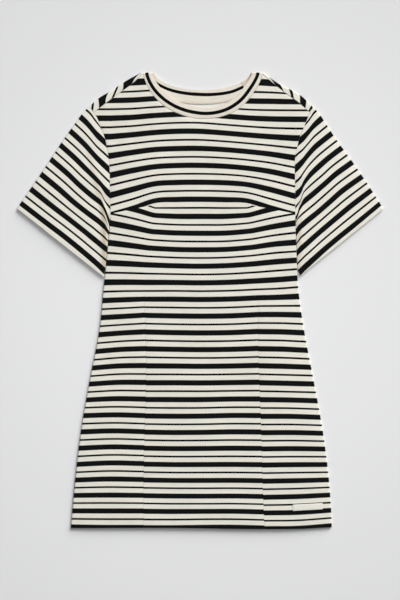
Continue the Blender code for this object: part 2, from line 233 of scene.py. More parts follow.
def neckStart(half, wider=0.0, inner=0.0, lower=0.0):
    # the angle at which the neck's curve leaves the fold over the shoulder
    shape = neckHalves[half]
    depth = mix(shape["depth"], shape["innerDepth"], inner) + wider
    drop = garment["neckCentre"][1] - garment["neckTop"] + fold + bandRise / 2 + lower
    return np.arcsin((drop / depth) ** (shape["power"] / 2))


# the stripes: thick ones are numbered down the body, with a thin one midway between two

stripes = {
    "period": 0.0321,
    # below the bust darts: stripe, its height at the middle in mm, and how much higher it lies, in mm,
    # at the left edge, half way, on both sides of the left dart, at each quarter and so on to the right
    "below": (
        (4, 191.8, 27.0, 14.0, -2.9, -2.9, -0.4, 0, -0.8, -3.0, -3.0, 14.0, 27.0),
        (5, 159.3, 23.4, 14.0, 1.9, 1.9, 0.0, 0, 0.0, 2.4, 2.4, 13.8, 23.4),
        (5.5, 143.1, 21.5, 13.0, 2.6, 2.6, 0.3, 0, 0.2, 3.4, 3.4, 13.3, 21.6),
        (6, 127.2, 19.5, 11.6, 3.0, 3.0, 0.6, 0, 0.4, 4.2, 4.2, 12.6, 19.7),
        (7, 95.9, 13.5, 8.6, 3.2, 3.2, 0.6, 0, 0.8, 4.7, 4.7, 10.7, 14.1),
        (8, 64.6, 6.5, 4.8, 2.6, 2.6, 0.9, 0, 1.3, 4.7, 4.7, 8.6, 11.4),
        (9.5, 17.3, -1.1, 0.0, 0.3, 0.3, 0.5, 0, 0.9, 3.3, 3.3, 4.9, 7.7),
        (11, -30.3, -2.9, -0.4, 2.1, 1.7, 0.6, 0, 0.7, 3.1, 3.2, 3.2, 2.3),
        (13, -93.8, -3.7, 0.4, 2.0, 1.6, 0.6, 0, 0.6, 2.3, 1.7, 0.9, -1.4),
        (15, -157.0, -2.5, 1.0, 0.9, 0.2, 0.3, 0, 0.6, 1.3, 0.4, -0.8, -2.1),
        (17, -220.0, 0.7, 2.3, 0.9, 0.3, -0.3, 0, 1.2, 1.0, -0.5, -0.6, -2.5),
        (20, -312.0, 0.1, 3.0, 1.8, 0.8, -0.1, 0, 0.2, -0.3, -1.0, -0.3, -0.2),
        (22, -372.0, 1.1, 1.9, 1.3, 0.8, 0.1, 0, 0.2, -0.8, -2.3, -0.9, 2.1),
        (23, -400.9, 0.7, 0.8, 0.7, 0.2, -0.3, 0, 0.1, -1.1, -3.0, -2.1, 1.9),
        (24, -431.2, 0.5, -0.3, -0.2, -0.9, -0.8, 0, 0.1, -1.3, -2.5, -1.9, 2.9),
        (25, -461.3, 0.5, -0.3, -0.2, -0.9, -0.8, 0, 0.1, -1.3, -2.5, -1.9, 2.9),
    ),
    # above the bust darts: the same at these places across the page, in mm
    "abovePlaces": (-170, -128, -86, -43, 1, 47, 90, 133, 178),
    "above": (
        (-4, 472.0, -6.5, -3.7, -1.6, 0.0, 0, -1.5, -2.6, -5.4, -9.0),
        (-3.2, 426.3, -6.5, -3.7, -1.6, 0.0, 0, -1.5, -2.3, -4.7, -9.0),
        (-3, 417.0, -6.5, -3.7, -1.6, 0.0, 0, -1.5, -2.3, -4.7, -9.0),
        (-2, 384.7, -5.2, -4.2, -1.6, 0.0, 0, -2.5, -6.1, -6.7, -7.4),
        (-1, 352.9, -7.0, -5.4, -1.9, 0.2, 0, -3.2, -6.4, -8.4, -9.0),
        (0, 320.8, -9.9, -6.3, -2.1, 0.2, 0, -3.2, -6.8, -10.1, -12.7),
        (1, 288.3, -13.9, -7.4, -2.1, -0.2, 0, -2.3, -5.9, -10.6, -17.5),
        (2, 256.2, -18.6, -9.7, -2.7, -0.2, 0, -1.7, -5.5, -11.6, -21.3),
        (3, 224.1, -24.5, -13.5, -2.9, -0.4, 0, -1.0, -4.4, -13.7, -25.7),
        (4, 191.8, -30.0, -17.5, -2.9, -0.4, 0, -0.8, -3.0, -16.0, -29.0),
        (5, 159.3, -33.0, -16.0, 1.9, 0.0, 0, 0.0, 2.4, -15.0, -32.0),
    ),
    "finePerStripe": 6,
    # the stripes' bends at the dart lines are rounded above the waist darts: the reach, the heights
    # over which that sets in and ends, and the weights of the places that are averaged
    "bendReach": 0.008,
    "bendStart": (0.020, 0.060),
    "bendEnd": 0.020,
    "bendWeights": ((-1, 0.10), (-0.5, 0.25), (0, 0.30), (0.5, 0.25), (1, 0.10)),
}


def stripeNumbers(knots, numbers, at):
    # the stripe number at which each row of knots, which run upwards, reaches its place
    count = int((numbers[-1] - numbers[0]) * stripes["finePerStripe"]) + 1
    fineNumbers = np.linspace(numbers[0], numbers[-1], count)
    fine = knots @ curveWeights(numbers, fineNumbers).T
    k = np.clip((fine < at[:, None]).sum(axis=1), 1, count - 1)
    rows = np.arange(len(at))
    before, after = fine[rows, k - 1], fine[rows, k]
    return mix(fineNumbers[k - 1], fineNumbers[k], (at - before) / (after - before))


def stripeAt(table, weights, heights, columns):
    # turns heights on the page into stripe numbers, by reading each stripe's own height there
    table = np.array(table, float)
    knots = (table[:, 1] + weights @ table[:, columns].T) / 1000
    return stripeNumbers(-knots, table[:, 0], -heights.ravel()).reshape(heights.shape)


def stripesBelow(part, share, heights):
    places = (0, 0.25, 0.5, 0.75, 1) if part == "middle" else (0, 0.5, 1)
    columns = {"left": [2, 3, 4], "middle": [5, 6, 7, 8, 9], "right": [12, 11, 10]}[part]
    share = np.clip(share, 0, 1)
    return stripeAt(stripes["below"], curveWeights(places, share.ravel()), heights, columns)


def partShares(x, y):
    # how far across its part each point lies, from the body's edge to the dart line
    lines = {name: bodyLine(name, y) for name in bodyColumn}
    left = (x - lines["leftEdge"]) / (lines["leftLine"] - lines["leftEdge"])
    right = (lines["rightEdge"] - x) / (lines["rightEdge"] - lines["rightLine"])
    middle = (x - lines["leftLine"]) / (lines["rightLine"] - lines["leftLine"])
    return {"left": left, "middle": middle, "right": right}


def roundedStripesBelow(part, x, y):
    sharp = stripesBelow(part, partShares(x, y)[part], y)
    room = np.minimum(x - bodyLine("leftEdge", y), bodyLine("rightEdge", y) - x)
    reach = np.clip(room, 0, stripes["bendReach"])
    soft = np.zeros_like(sharp)
    for offset, weight in stripes["bendWeights"]:
        shares = partShares(x + offset * reach, y)
        beside = stripesBelow("middle", shares["middle"], y)
        for other in ("left", "right"):
            beside = np.where(shares[other] < 1, stripesBelow(other, shares[other], y), beside)
        soft += weight * beside
    amount = easeFrom(y, *stripes["bendStart"]) * smoothStep((garment["bust"] - y) / stripes["bendEnd"])
    return mix(sharp, soft, amount)


def stripesAbove(x, heights):
    weights = curveWeights(stripes["abovePlaces"], x.ravel() * 1000)
    return stripeAt(stripes["above"], weights, heights, list(range(2, 2 + len(stripes["abovePlaces"]))))


backStripes = {  # the back's stripes are straight; they meet the front's at the sides
    "knots": ((-0.462, 25.0), (-0.4315, 24.0), (-0.372, 22.0), (-0.220, 17.0), (-0.0935, 13.0),
              (0.0235, 9.5), (0.108, 7.0), (0.165, 5.1), (0.390, -2.0), (0.4205, -3.0), (0.455, -4.1)),
    "tilt": -0.014,  # how much lower they lie to the right, near the shoulders
    "tiltStart": (0.25, 0.1),  # the height from which they tilt, and over what length that sets in
}


def stripesOnBack(x, y):
    tilt = backStripes["tilt"] * easeFrom(y, *backStripes["tiltStart"])
    return readTable(backStripes["knots"], y - tilt * x)


# meshes


def newObject(name, data):
    holder = bpy.data.objects.new(name, data)
    bpy.context.scene.collection.objects.link(holder)
    return holder


def makeSheet(name, points, patches, facing, sizes=jerseySizes, missing=None):
    # a wall of cloth under a grid of outer points; each patch of faces has its own cloth coordinates
    rows, columns = points.shape[:2]
    mesh = bpy.data.meshes.new(name)
    index = np.arange(rows * columns).reshape(rows, columns)
    used = np.ones((rows, columns), bool) if missing is None else ~missing
    faces, corners = [], []
    for rowStart, columnStart, u, v in patches:
        down, across = u.shape
        for i in range(down - 1):
            for j in range(across - 1):
                cells = ((i, j), (i, j + 1), (i + 1, j + 1), (i + 1, j))
                places = [((rowStart + a) % rows, columnStart + b) for a, b in cells]
                if not all(used[place] for place in places):
                    continue
                if facing < 0:
                    places, cells = places[::-1], cells[::-1]
                faces.append([index[place] for place in places])
                corners.extend((u[cell], v[cell]) for cell in cells)
    flat = points.reshape(-1, 3)
    kept = np.unique(np.array(faces).ravel())
    renumber = np.zeros(len(flat), int)
    renumber[kept] = np.arange(len(kept))
    mesh.from_pydata(flat[kept].tolist(), [], renumber[np.array(faces)].tolist())
    layer = mesh.uv_layers.new(name="cloth")
    layer.data.foreach_set("uv", np.array(corners, np.float32).ravel())
    mesh.update()
    piece = newObject(name, mesh)
    solid = piece.modifiers.new("thickness", "SOLIDIFY")
    solid.thickness = sizes["thickness"]
    solid.offset = -1
    solid.material_offset = 1  # the inside has the second material, if there is one
    bevel = piece.modifiers.new("rounding", "BEVEL")
    bevel.width = sizes["rounding"]
    bevel.segments = 2
    bevel.limit_method = "ANGLE"
    bevel.angle_limit = math.radians(50)
    mesh.shade_smooth()
    return piece


def settle(piece, materials, replaced=None):
    # sets the finish, applies the modifiers and puts the piece in the frame
    for material in materials:
        piece.data.materials.append(material)
    graph = bpy.context.evaluated_depsgraph_get()
    mesh = bpy.data.meshes.new_from_object(piece.evaluated_get(graph), depsgraph=graph)
    piece.modifiers.clear()
    piece.data = mesh
    mesh.shade_smooth()
    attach(piece, "root")
    if replaced:
        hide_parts(replaced)
    triangles = sum(len(face.vertices) - 2 for face in mesh.polygons)
    print(f"{piece.name}: {triangles} triangles")
    return piece


# nodes


def addNode(tree, kind, inputs, **settings):
    # a node with these settings; each of its inputs, by name or number, takes a value or a link
    node = tree.nodes.new(kind)
    for name, setting in settings.items():
        setattr(node, name, setting)
    for place, value in inputs.items():
        if isinstance(value, bpy.types.NodeSocket):
            tree.links.new(value, node.inputs[place])
        else:
            node.inputs[place].default_value = value
    return node


def maths(tree, value, *steps):
    # a chain of sums: each step is an operation and the second number, where it has one
    for operation, *other in steps:
        inputs = dict(enumerate((value, *other)))
        value = addNode(tree, "ShaderNodeMath", inputs, operation=operation).outputs[0]
    return value


def splitXY(tree, vector):
    node = addNode(tree, "ShaderNodeSeparateXYZ", {0: vector})
    return node.outputs[0], node.outputs[1]


def noise(tree, vector, scale, detail=2.0, rough=0.5):
    inputs = {"Vector": vector, "Scale": scale, "Detail": detail, "Roughness": rough}
    return addNode(tree, "ShaderNodeTexNoise", inputs).outputs["Fac"]


def ramp(tree, value, low, high, toLow=0.0, toHigh=1.0):
    inputs = {"Value": value, "From Min": low, "From Max": high, "To Min": toLow, "To Max": toHigh}
    return addNode(tree, "ShaderNodeMapRange", inputs, interpolation_type="SMOOTHSTEP").outputs["Result"]


def blendColours(tree, factor, a, b, kind="MIX"):
    a, b = ((*colour, 1) if isinstance(colour, tuple) else colour for colour in (a, b))
    # a Mix node's inputs 6 and 7 and its output 2 are the colours
    node = addNode(tree, "ShaderNodeMix", {0: factor, 6: a, 7: b}, data_type="RGBA", blend_type=kind)
    return node.outputs[2]


# shader groups


def newGroup(name, inputs, outputs):
    # a group that reads the cloth's coordinates; its other inputs have these values until they are set
    group = bpy.data.node_groups.new(name, "ShaderNodeTree")
    group.interface.new_socket("Cloth", in_out="INPUT", socket_type="NodeSocketVector")
    kinds = {True: "NodeSocketColor", False: "NodeSocketFloat"}
    for label, value in inputs.items():
        kind = kinds[isinstance(value, tuple)]
        group.interface.new_socket(label, in_out="INPUT", socket_type=kind).default_value = value
    for label in outputs:
        group.interface.new_socket(label, in_out="OUTPUT", socket_type=kinds[label == "Colour"])
    return group, group.nodes.new("NodeGroupInput").outputs, group.nodes.new("NodeGroupOutput").inputs


def useGroup(tree, group, cloth, values):
    values = {label: (*value, 1) if isinstance(value, tuple) else value for label, value in values.items()}
    return addNode(tree, "ShaderNodeGroup", {"Cloth": cloth, **values}, node_tree=group)


def makeLoopGroup():
    # rows of knitted loops: each wale is a column of V shapes, whose legs lean to its middle
    inputs = {"Wale Width": 0.0011, "Course Height": 0.0009, "Lean": 0.9}
    group, given, result = newGroup("knittedLoops", inputs, ["Height"])
    turn = ("MULTIPLY", 2 * math.pi), ("COSINE",)
    u, v = splitXY(group, given["Cloth"])
    side = maths(group, u, ("DIVIDE", given["Wale Width"]), ("FRACT",), ("SUBTRACT", 0.5), ("ABSOLUTE",))
    leaning = maths(group, side, ("MULTIPLY", given["Lean"]))
    row = maths(group, v, ("DIVIDE", given["Course Height"]), ("ADD", leaning), *turn)
    row = maths(group, row, ("MULTIPLY", 0.5), ("ADD", 0.5), ("MULTIPLY", 0.65), ("ADD", 0.35))
    height = maths(group, side, ("SUBTRACT", 0.25), *turn, ("MAXIMUM", 0.0), ("MULTIPLY", row))
    group.links.new(height, result["Height"])
    return group


def makeStripeGroup():
    # thick and thin stripes along the courses, with edges that step with the loops
    shares = {"Thick Share": 0.28, "Thin Share": 0.078}
    inputs = {"Period": 0.0321, **shares, "Edge": 0.008, "Wale Width": 0.0011, "Step": 0.00035}
    group, given, result = newGroup("yarnStripes", inputs, ["Mask"])
    u, v = splitXY(group, given["Cloth"])
    zigzag = maths(group, u, ("DIVIDE", given["Wale Width"]), ("FRACT",), ("SUBTRACT", 0.5), ("ABSOLUTE",))
    shift = maths(group, zigzag, ("SUBTRACT", 0.25), ("MULTIPLY", given["Step"]))
    number = maths(group, v, ("ADD", shift), ("DIVIDE", given["Period"]))
    fromThick = maths(group, number, ("ADD", 0.5), ("FRACT",), ("SUBTRACT", 0.5), ("ABSOLUTE",))
    fromThin = maths(group, 0.5, ("SUBTRACT", fromThick))
    masks = []
    for distance, share in ((fromThick, "Thick Share"), (fromThin, "Thin Share")):
        half = maths(group, given[share], ("MULTIPLY", 0.5))
        inner, outer = (maths(group, half, (sign, given["Edge"])) for sign in ("SUBTRACT", "ADD"))
        masks.append(ramp(group, distance, inner, outer, 1.0, 0.0))
    group.links.new(maths(group, masks[0], ("MAXIMUM", masks[1])), result["Mask"])
    return group


yarn = {  # the noise in the yarn's tone: its scale, detail and roughness
    "drift": (14.0, 2.0, 0.5),
    "streak": (420.0, 1.0, 0.5),
    "streakLength": 0.12,
    "fuzz": (2200.0, 3.0, 0.7),
    "grain": (640.0, 1.0, 0.5),
    "toneRange": (0.9, 1.1),  # the tones between which the roughness changes
}


def makeToneGroup():
    # uneven yarn: a slow drift in tone, a streak along the courses, grain and fine fuzz
    inputs = {"Colour": (0.8, 0.8, 0.8, 1), "Drift": 0.05, "Fuzz": 0.08, "Grain": 0.15}
    group, given, result = newGroup("yarnTone", inputs, ["Colour", "Tone"])
    u, v = splitXY(group, given["Cloth"])
    along = maths(group, u, ("MULTIPLY", yarn["streakLength"]))
    streaked = addNode(group, "ShaderNodeCombineXYZ", {0: along, 1: v}).outputs[0]

    def uneven(kind, place):
        return maths(group, noise(group, place, *yarn[kind]), ("SUBTRACT", 0.5))

    drift, streak = uneven("drift", given["Cloth"]), uneven("streak", streaked)
    fuzz, grain = (uneven(kind, given["Cloth"]) for kind in ("fuzz", "grain"))
    slow = maths(group, drift, ("ADD", streak), ("MULTIPLY", given["Drift"]))
    grain = maths(group, grain, ("MULTIPLY", given["Grain"]))
    fine = maths(group, fuzz, ("MULTIPLY", given["Fuzz"]), ("ADD", grain))
    tone = maths(group, slow, ("ADD", fine), ("ADD", 1.0))
    scaled = addNode(group, "ShaderNodeVectorMath", {0: given["Colour"]}, operation="SCALE")
    group.links.new(tone, scaled.inputs["Scale"])
    group.links.new(scaled.outputs[0], result["Colour"])
    group.links.new(tone, result["Tone"])
    return group


def makeWeaveGroup():
    # a plain or twill weave for the tape and the label
    group, given, result = newGroup("wovenThreads", {"Thread": 0.0004, "Twill": 0.5}, ["Height"])
    wave = ("MULTIPLY", math.pi), ("SINE",), ("ABSOLUTE",)
    places = splitXY(group, given["Cloth"])
    warp, weft = (maths(group, place, ("DIVIDE", given["Thread"])) for place in places)
    leaning = maths(group, weft, ("MULTIPLY", given["Twill"]))
    threads = maths(group, weft, *wave)
    height = maths(group, warp, ("ADD", leaning), *wave, ("MULTIPLY", threads))
    group.links.new(height, result["Height"])
    return group


loopGroup = makeLoopGroup()
stripeGroup = makeStripeGroup()
toneGroup = makeToneGroup()
weaveGroup = makeWeaveGroup()


# materials


def newMaterial(name, look):
    material = bpy.data.materials.new(name)
    material.use_nodes = True
    shader = material.node_tree.nodes["Principled BSDF"]
    inputs = {"roughness": "Roughness", "specular": "Specular IOR Level", "sheen": "Sheen Weight"}
    for key, place in inputs.items():
        shader.inputs[place].default_value = look[key]
    return material, material.node_tree, shader


def makeClothMaterial(name, look, group, stripeMask=None):
    # a knitted or woven cloth, with painted shade in a warm colour where its warmShade attribute says so, and
    # black where the mask says so
    material, tree, shader = newMaterial(name, look)
    cloth = addNode(tree, "ShaderNodeUVMap", {}, uv_map="cloth").outputs["UV"]
    height = useGroup(tree, group, cloth, look["relief"]).outputs["Height"]
    light = useGroup(tree, toneGroup, cloth, {"Colour": look["cream"], **look["creamTone"]})
    # painted shade in the hollows between the loops or threads, deepest where their relief is lowest
    reliefShade = maths(tree, 1.0, ("SUBTRACT", height), ("MULTIPLY", look["reliefShade"]))
    shaded = addNode(tree, "ShaderNodeAttribute", {}, attribute_name="warmShade").outputs["Fac"]
    colour = blendColours(tree, shaded, light.outputs["Colour"], look["warm"])
    colour = blendColours(tree, reliefShade, colour, look["reliefShadeColour"], "MULTIPLY")
    if stripeMask:
        dark = useGroup(tree, toneGroup, cloth, {"Colour": look["black"], **look["blackTone"]})
        colour = blendColours(tree, stripeMask(tree, cloth), colour, dark.outputs["Colour"])
    tree.links.new(colour, shader.inputs["Base Color"])
    roughness = ramp(tree, light.outputs["Tone"], *yarn["toneRange"], *look["roughnessRange"])
    tree.links.new(roughness, shader.inputs["Roughness"])
    relief = {"Distance": look["reliefDepth"], "Height": height}
    tree.links.new(addNode(tree, "ShaderNodeBump", relief).outputs["Normal"], shader.inputs["Normal"])
    return material


jerseyFinish = {
    "cream": (0.778, 0.755, 0.671),
    "creamTone": {"Drift": 0.14, "Fuzz": 0.12},
    "black": (0.0041, 0.0046, 0.0048),
    "blackTone": {"Drift": 0.4, "Fuzz": 1.2},
    "warm": (0.53, 0.44, 0.32),  # the colour of the painted shade where a fold beside the cloth would shade it; along the seams it also gives their own darker line
    "reliefShadeColour": (0.30, 0.27, 0.22),  # painted shade between the loops: its colour, and how much of it there is
    "reliefShade": 0.09,
    "relief": {"Wale Width": 0.0011, "Course Height": 0.00090},
    "reliefDepth": 0.00012,
    "stripes": {"Wale Width": 0.0011, "Thick Share": 0.322, "Thin Share": 0.117},
    "roughness": 0.88,
    "roughnessRange": (0.82, 0.93),
    "sheen": 0.02,
    "specular": 0.06,
}
insideFinish = {**jerseyFinish, "cream": (0.800, 0.790, 0.750)}


def jerseyStripes(tree, cloth):
    values = {"Period": stripes["period"], **jerseyFinish["stripes"]}
    return useGroup(tree, stripeGroup, cloth, values).outputs["Mask"]


jersey = makeClothMaterial("stripedJersey", jerseyFinish, loopGroup, jerseyStripes)
jerseyInside = makeClothMaterial("plainInside", insideFinish, loopGroup)


# painted shade in the folds and beside them, and a darker line along the seams that is partly their own line
# and partly painted shade, kept as an attribute of the cloth


def distanceTo(line, x, y):
    # how far each place on the page is from the nearest point of a line
    tree = kdtree.KDTree(len(line))
    for k, point in enumerate(line):
        tree.insert((*point, 0.0), k)
    tree.balance()
    return np.array([tree.find((a, b, 0.0))[2] for a, b in zip(x, y)])


def addWarmShade(piece, paintedShade):
    mesh = piece.data
    places = np.empty(len(mesh.vertices) * 3)
    mesh.vertices.foreach_get("co", places)
    shade = mesh.attributes.new("warmShade", "FLOAT", "POINT")
    amount = paintedShade(*places.reshape(-1, 3).T)
    shade.data.foreach_set("value", np.clip(amount, 0, 1).astype(np.float32))


warmShade = {
    # darker lines along the seams and the dart lines, partly their own line and partly painted shade in their
    # grooves
    "seam": 0.28,
    "seamReach": 0.0013,
    "waistDart": 0.40,
    "waistDartReach": 0.0010,
    "bustDart": 0.20,
    "dartTip": ((0.0902, 0.180), 0.0022, 0.35),  # painted shade at the right bust dart's tip: its place, reach and amount
    # painted shade where the sleeves sink beside the body: height on the page, place across it and amount
    "sunk": {
        "left": ((0.040, -0.1818, 0.0), (0.060, -0.1818, 0.75), (0.093, -0.1818, 0.90),
                 (0.133, -0.1824, 0.82), (0.171, -0.1845, 0.80), (0.195, -0.1890, 0.62),
                 (0.228, -0.2000, 0.42), (0.262, -0.2070, 0.32), (0.290, -0.2110, 0.0)),
        "right": ((0.045, 0.1884, 0.0), (0.070, 0.1884, 0.35), (0.093, 0.1884, 0.47),
                  (0.133, 0.1894, 0.62), (0.165, 0.1906, 0.22), (0.190, 0.1914, 0.0)),
    },
    "sunkWidth": {"left": 0.0058, "right": 0.0040},
    "rim": 0.30,  # painted shade along the folds that face the light
    "rimReach": 0.0022,
    "waistDartStart": 0.02,  # the length over which that of the waist darts sets in
    "neckEnds": 0.08,  # how far from its ends, in radians, the neck's line starts and stops
}


def dartLinesAndShade(x, y):
    amount = np.zeros_like(x)
    for edge, line in darts:
        onLine = tent(x - bodyLine(line, y), warmShade["waistDartReach"])
        started = smoothStep((panel["waistDartsTop"] - y) / warmShade["waistDartStart"])
        amount = np.maximum(amount, warmShade["waistDart"] * onLine * started)
        along, above = alongBustDart(edge, line, x, y)
        onLine = tent(above, warmShade["seamReach"]) * (along < 1)
        amount = np.maximum(amount, warmShade["bustDart"] * onLine)
    (tipX, tipY), reach, tip = warmShade["dartTip"]
    return np.maximum(amount, tip * bump(np.hypot(x - tipX, y - tipY), reach))


def seamLinesAndShade(x, y, line):
    return warmShade["seam"] * tent(distanceTo(line, x, y), warmShade["seamReach"])


def armholeLine(side):
    heights = np.linspace(garment["underarm"], garment["shoulderSeams"][side][0][1], 300)
    return np.column_stack([armhole(side, heights), heights])


def shoulderSeamLine(side):
    return pointOn(garment["shoulderSeams"][side], np.linspace(0, 1, 200))


def frontLinesAndShade(x, y, z):
    lines = [neckPoint("front", neckAngles(warmShade["neckEnds"], 500))]
    for side in ("left", "right"):
        lines += [armholeLine(side), shoulderSeamLine(side)]
    return np.maximum(dartLinesAndShade(x, y), seamLinesAndShade(x, y, np.concatenate(lines)))


def rimShade(x, y, folded):
    line = pointOn(folded, np.linspace(0, 1, 300))
    return warmShade["rim"] * bump(distanceTo(line, x, y), warmShade["rimReach"])


# the darker line along the shoulder seams, partly painted shade, and painted shade along the right shoulder's
# fold, which faces the light
def backLinesAndShade(x, y, z):
    lines = np.concatenate([shoulderSeamLine(side) for side in ("left", "right")])
    rim = rimShade(x, y, garment["shoulderFolds"]["right"])
    return np.maximum(seamLinesAndShade(x, y, lines), rim) * (z > fold)


def sleeveLinesAndShade(x, y, z):
    side = "left" if x.mean() < 0 else "right"
    heights, places, amounts = np.array(warmShade["sunk"][side]).T
    away = x - readCurve(heights, places, y)
    sunk = np.clip(readCurve(heights, amounts, y), 0, 1) * bump(away, warmShade["sunkWidth"][side])
    shade = np.maximum(sunk, seamLinesAndShade(x, y, armholeLine(side)))
    if side == "right":
        shade = np.maximum(shade, rimShade(x, y, sleeve[side]["upperFold"]))
    return shade


# the body: front and back panels

panel = {
    "step": 0.0034,  # spacing of the grid over the cloth
    "rollSteps": 7,
    # about how wide the parts beside and between the dart lines are, and how high the part above
    "sideWidth": 0.110,
    "middleWidth": 0.205,
    "upperHeight": 0.215,
    # extra columns beside the dart lines, and extra rows beside the bust darts and the top seams
    "dartShares": (0.0045, 0.013),
    "sharesBelowBust": (0.0055, 0.0022),
    "sharesAboveBust": (0.006, 0.014),
    "sharesAtTop": (0.991, 0.996),
    "waveHeight": 0.00028,  # soft unevenness of the laid cloth
    "waveEnd": 0.03,  # how far from the edges it is fully there
    "waistCrease": 0.00065,
    "waistCreaseWidth": 0.0014,
    "waistCreaseStart": 0.05,
    "waistDartsTop": 0.019,
    "bustCrease": 0.00070,
    "bustCreaseWidth": 0.0016,
    "bustCreaseShares": (-0.2, 0.3),  # where it starts before the side seam, and ends before the tip
    "creaseEnd": 0.006,  # over what distance the creases set in from the side
    "seamDip": 0.00050,
    "seamDipWidth": 0.0022,
    "armholeDipStart": (0.150, 0.03),  # its height, and the length over which the dip sets in
}


def rollShares():
    angles = np.linspace(0, math.pi / 2, panel["rollSteps"] + 1)
    return [(1 - math.cos(a), 1 - math.sin(a), a / (math.pi / 2)) for a in angles]


def panelColumns():
    # for each column: its part, the share of that part, and its place round the folded edge
    flat, near = (1.0, 0.0, 1.0), panel["dartShares"]
    half = [(0.0, roll) for roll in rollShares()[:-1]]
    half += [(share, flat) for share in evenShares(panel["sideWidth"], panel["step"])[:-1]]
    half += [(1 - 2 * share, flat) for share in reversed(near)]
    across = evenShares(panel["middleWidth"], panel["step"])[1:-1]
    across = sorted({*across, *near, *(1 - share for share in near), 0.0, 1.0})
    left = [("left", *place) for place in half]
    right = [("right", *place) for place in reversed(half)]
    return left + [("middle", share, flat) for share in across] + right


columns = panelColumns()
partOf = np.array([column[0] for column in columns])
shareOf = np.array([column[1] for column in columns])
rollIn, rollDown, flatIn = np.array([column[2] for column in columns]).T
isMiddle, isLeft, isRight = partOf == "middle", partOf == "left", partOf == "right"
leftLineAt = int(np.flatnonzero(isMiddle)[0])
rightLineAt = int(np.flatnonzero(isMiddle)[-1])


def foldedAt(height):
    return smoothStep((garment["underarm"] - height) / garment["foldStart"])


def turnedBy(folded):
    return 1 - (1 - folded) ** 3


def insetAt(width, height):
    return fold * mix(flatIn, rollIn, turnedBy(foldedAt(height))) + shareOf * (width - fold)


def lowerPoints(share):
    # a row below the bust darts, at a share of each column's height
    top = np.where(isMiddle, garment["bust"], mix(garment["underarm"], garment["bust"], shareOf))
    height = mix(garment["hem"], top, share)
    lines = {name: bodyLine(name, height) for name in bodyColumn}
    x = mix(lines["leftLine"], lines["rightLine"], shareOf)
    left = lines["leftEdge"] + insetAt(lines["leftLine"] - lines["leftEdge"], height)
    right = lines["rightEdge"] - insetAt(lines["rightEdge"] - lines["rightLine"], height)
    x = np.where(isLeft, left, np.where(isRight, right, x))
    return np.stack([x, height + hemLift(x, height)], axis=-1)


def shoulderLines(side):
    # where each column crosses the fold over a shoulder and its shoulder seam
    foldLine = garment["shoulderFolds"][side]
    seamLine = garment["shoulderSeams"][side]
    width = abs(seamLine[-1][0] - seamLine[0][0])
    share = np.where(partOf == side, insetAt(width, seamLine[0][1]) / width, 1.0)
    return pointOn(foldLine, share), pointOn(seamLine, share), share


def topPoints(half):
    lower = garment["neckCornerDrop"] if half == "front" else 0.0
    gap = garment["neckGap"]
    start = neckStart(half, gap, lower=lower)
    ends = neckPoint(half, mix(start, math.pi - start, shareOf), gap)
    for side, chosen in (("left", isLeft), ("right", isRight)):
        foldPoint, seamPoint, _ = shoulderLines(side)
        inward = unit(seamPoint - foldPoint)
        place = seamPoint + inward * garment["seamGap"] if half == "front" else foldPoint + inward * fold
        ends[chosen] = place[chosen]
    return ends


def upperPoints(share, starts, ends):
    points = mix(starts, ends, share)
    for side, chosen, edge in (("left", isLeft, 0), ("right", isRight, -1)):
        straight = mix(starts[edge], ends[edge], share)
        bend = armhole(side, straight[1]) - straight[0]
        points[chosen, 0] += (bend * (1 - shareOf) ** 2)[chosen]
    return points


def rollDropAt(height):
    return (fold - garment["seamGap"] / 2) * rollDown * foldedAt(height)


def softWaves(x, y, height):
    # low swells a hand's width apart, as cloth keeps after it is smoothed out
    swell = np.sin(x * 31 + 1.3 * np.sin(y * 9) + 0.4) * np.cos(y * 17 - x * 6)
    swell += 0.6 * np.sin(y * 38 + x * 11 + 1.1) * np.cos(x * 23 + 0.7)
    swell += 0.5 * np.sin(y * 61 - x * 19) * np.sin(x * 47 + y * 5 + 2.0)
    return height * swell


def frontHeight(x, y):
    lowest = np.minimum(y, garment["underarm"])
    left, right = bodyLine("leftEdge", lowest), bodyLine("rightEdge", lowest)
    across = np.abs((x - (left + right) / 2) / ((right - left) / 2 - fold))
    height = 2 * fold + garment["loft"] * (1 - np.minimum(1.0, across) ** 4)
    spreadX, spreadY = garment["bustSpread"]
    for _, line in darts:
        away = np.hypot((x - bodyLine(line, garment["bust"])) / spreadX, (y - garment["bust"]) / spreadY)
        height = height + garment["bustFullness"] * bump(away, 1)
    return height


def dartCreases(x, y):
    # the two long waist darts and the two bust darts, pressed flat
    depth = np.zeros_like(x)
    start, end = panel["bustCreaseShares"]
    for edge, line in darts:
        fade = smoothStep((panel["waistDartsTop"] - y) / panel["waistCreaseStart"])
        depth += panel["waistCrease"] * fade * bump(x - bodyLine(line, y), panel["waistCreaseWidth"])
        along, above = alongBustDart(edge, line, x, y)
        fade = smoothStep((1 - along) / end) * (along > start)
        depth += panel["bustCrease"] * fade * bump(above, panel["bustCreaseWidth"])
    return depth


lowerShares = evenShares(garment["bust"] - garment["hem"], panel["step"])[:-1]
lowerShares = np.array([*lowerShares, *(1 - share for share in panel["sharesBelowBust"]), 1.0])
upperShares = evenShares(panel["upperHeight"], panel["step"])[2:-1]
upperShares = np.array([0.0, *panel["sharesAboveBust"], *upperShares, *panel["sharesAtTop"], 1.0])


def panelPage(half):
    # the places on the page of a panel's rows, from the hem to the top
    starts, ends = lowerPoints(1.0), topPoints(half)
    lower = [lowerPoints(share) for share in lowerShares]
    upper = [upperPoints(share, starts, ends) for share in upperShares[1:]]
    return np.array(lower + upper)


def seamDips(x, y, share):
    # the cloth goes down a little into the armhole, shoulder and neck seams
    toTop = np.linalg.norm(topPoints("front") - lowerPoints(1.0), axis=-1)[None, :] * (1 - share)
    dips = bump(toTop, panel["seamDipWidth"]) * (share > 0)
    for side in ("left", "right"):
        dip = bump(x - armhole(side, y), panel["seamDipWidth"]) * easeFrom(y, *panel["armholeDipStart"])
        dips = np.maximum(dips, dip)
    return panel["seamDip"] * dips


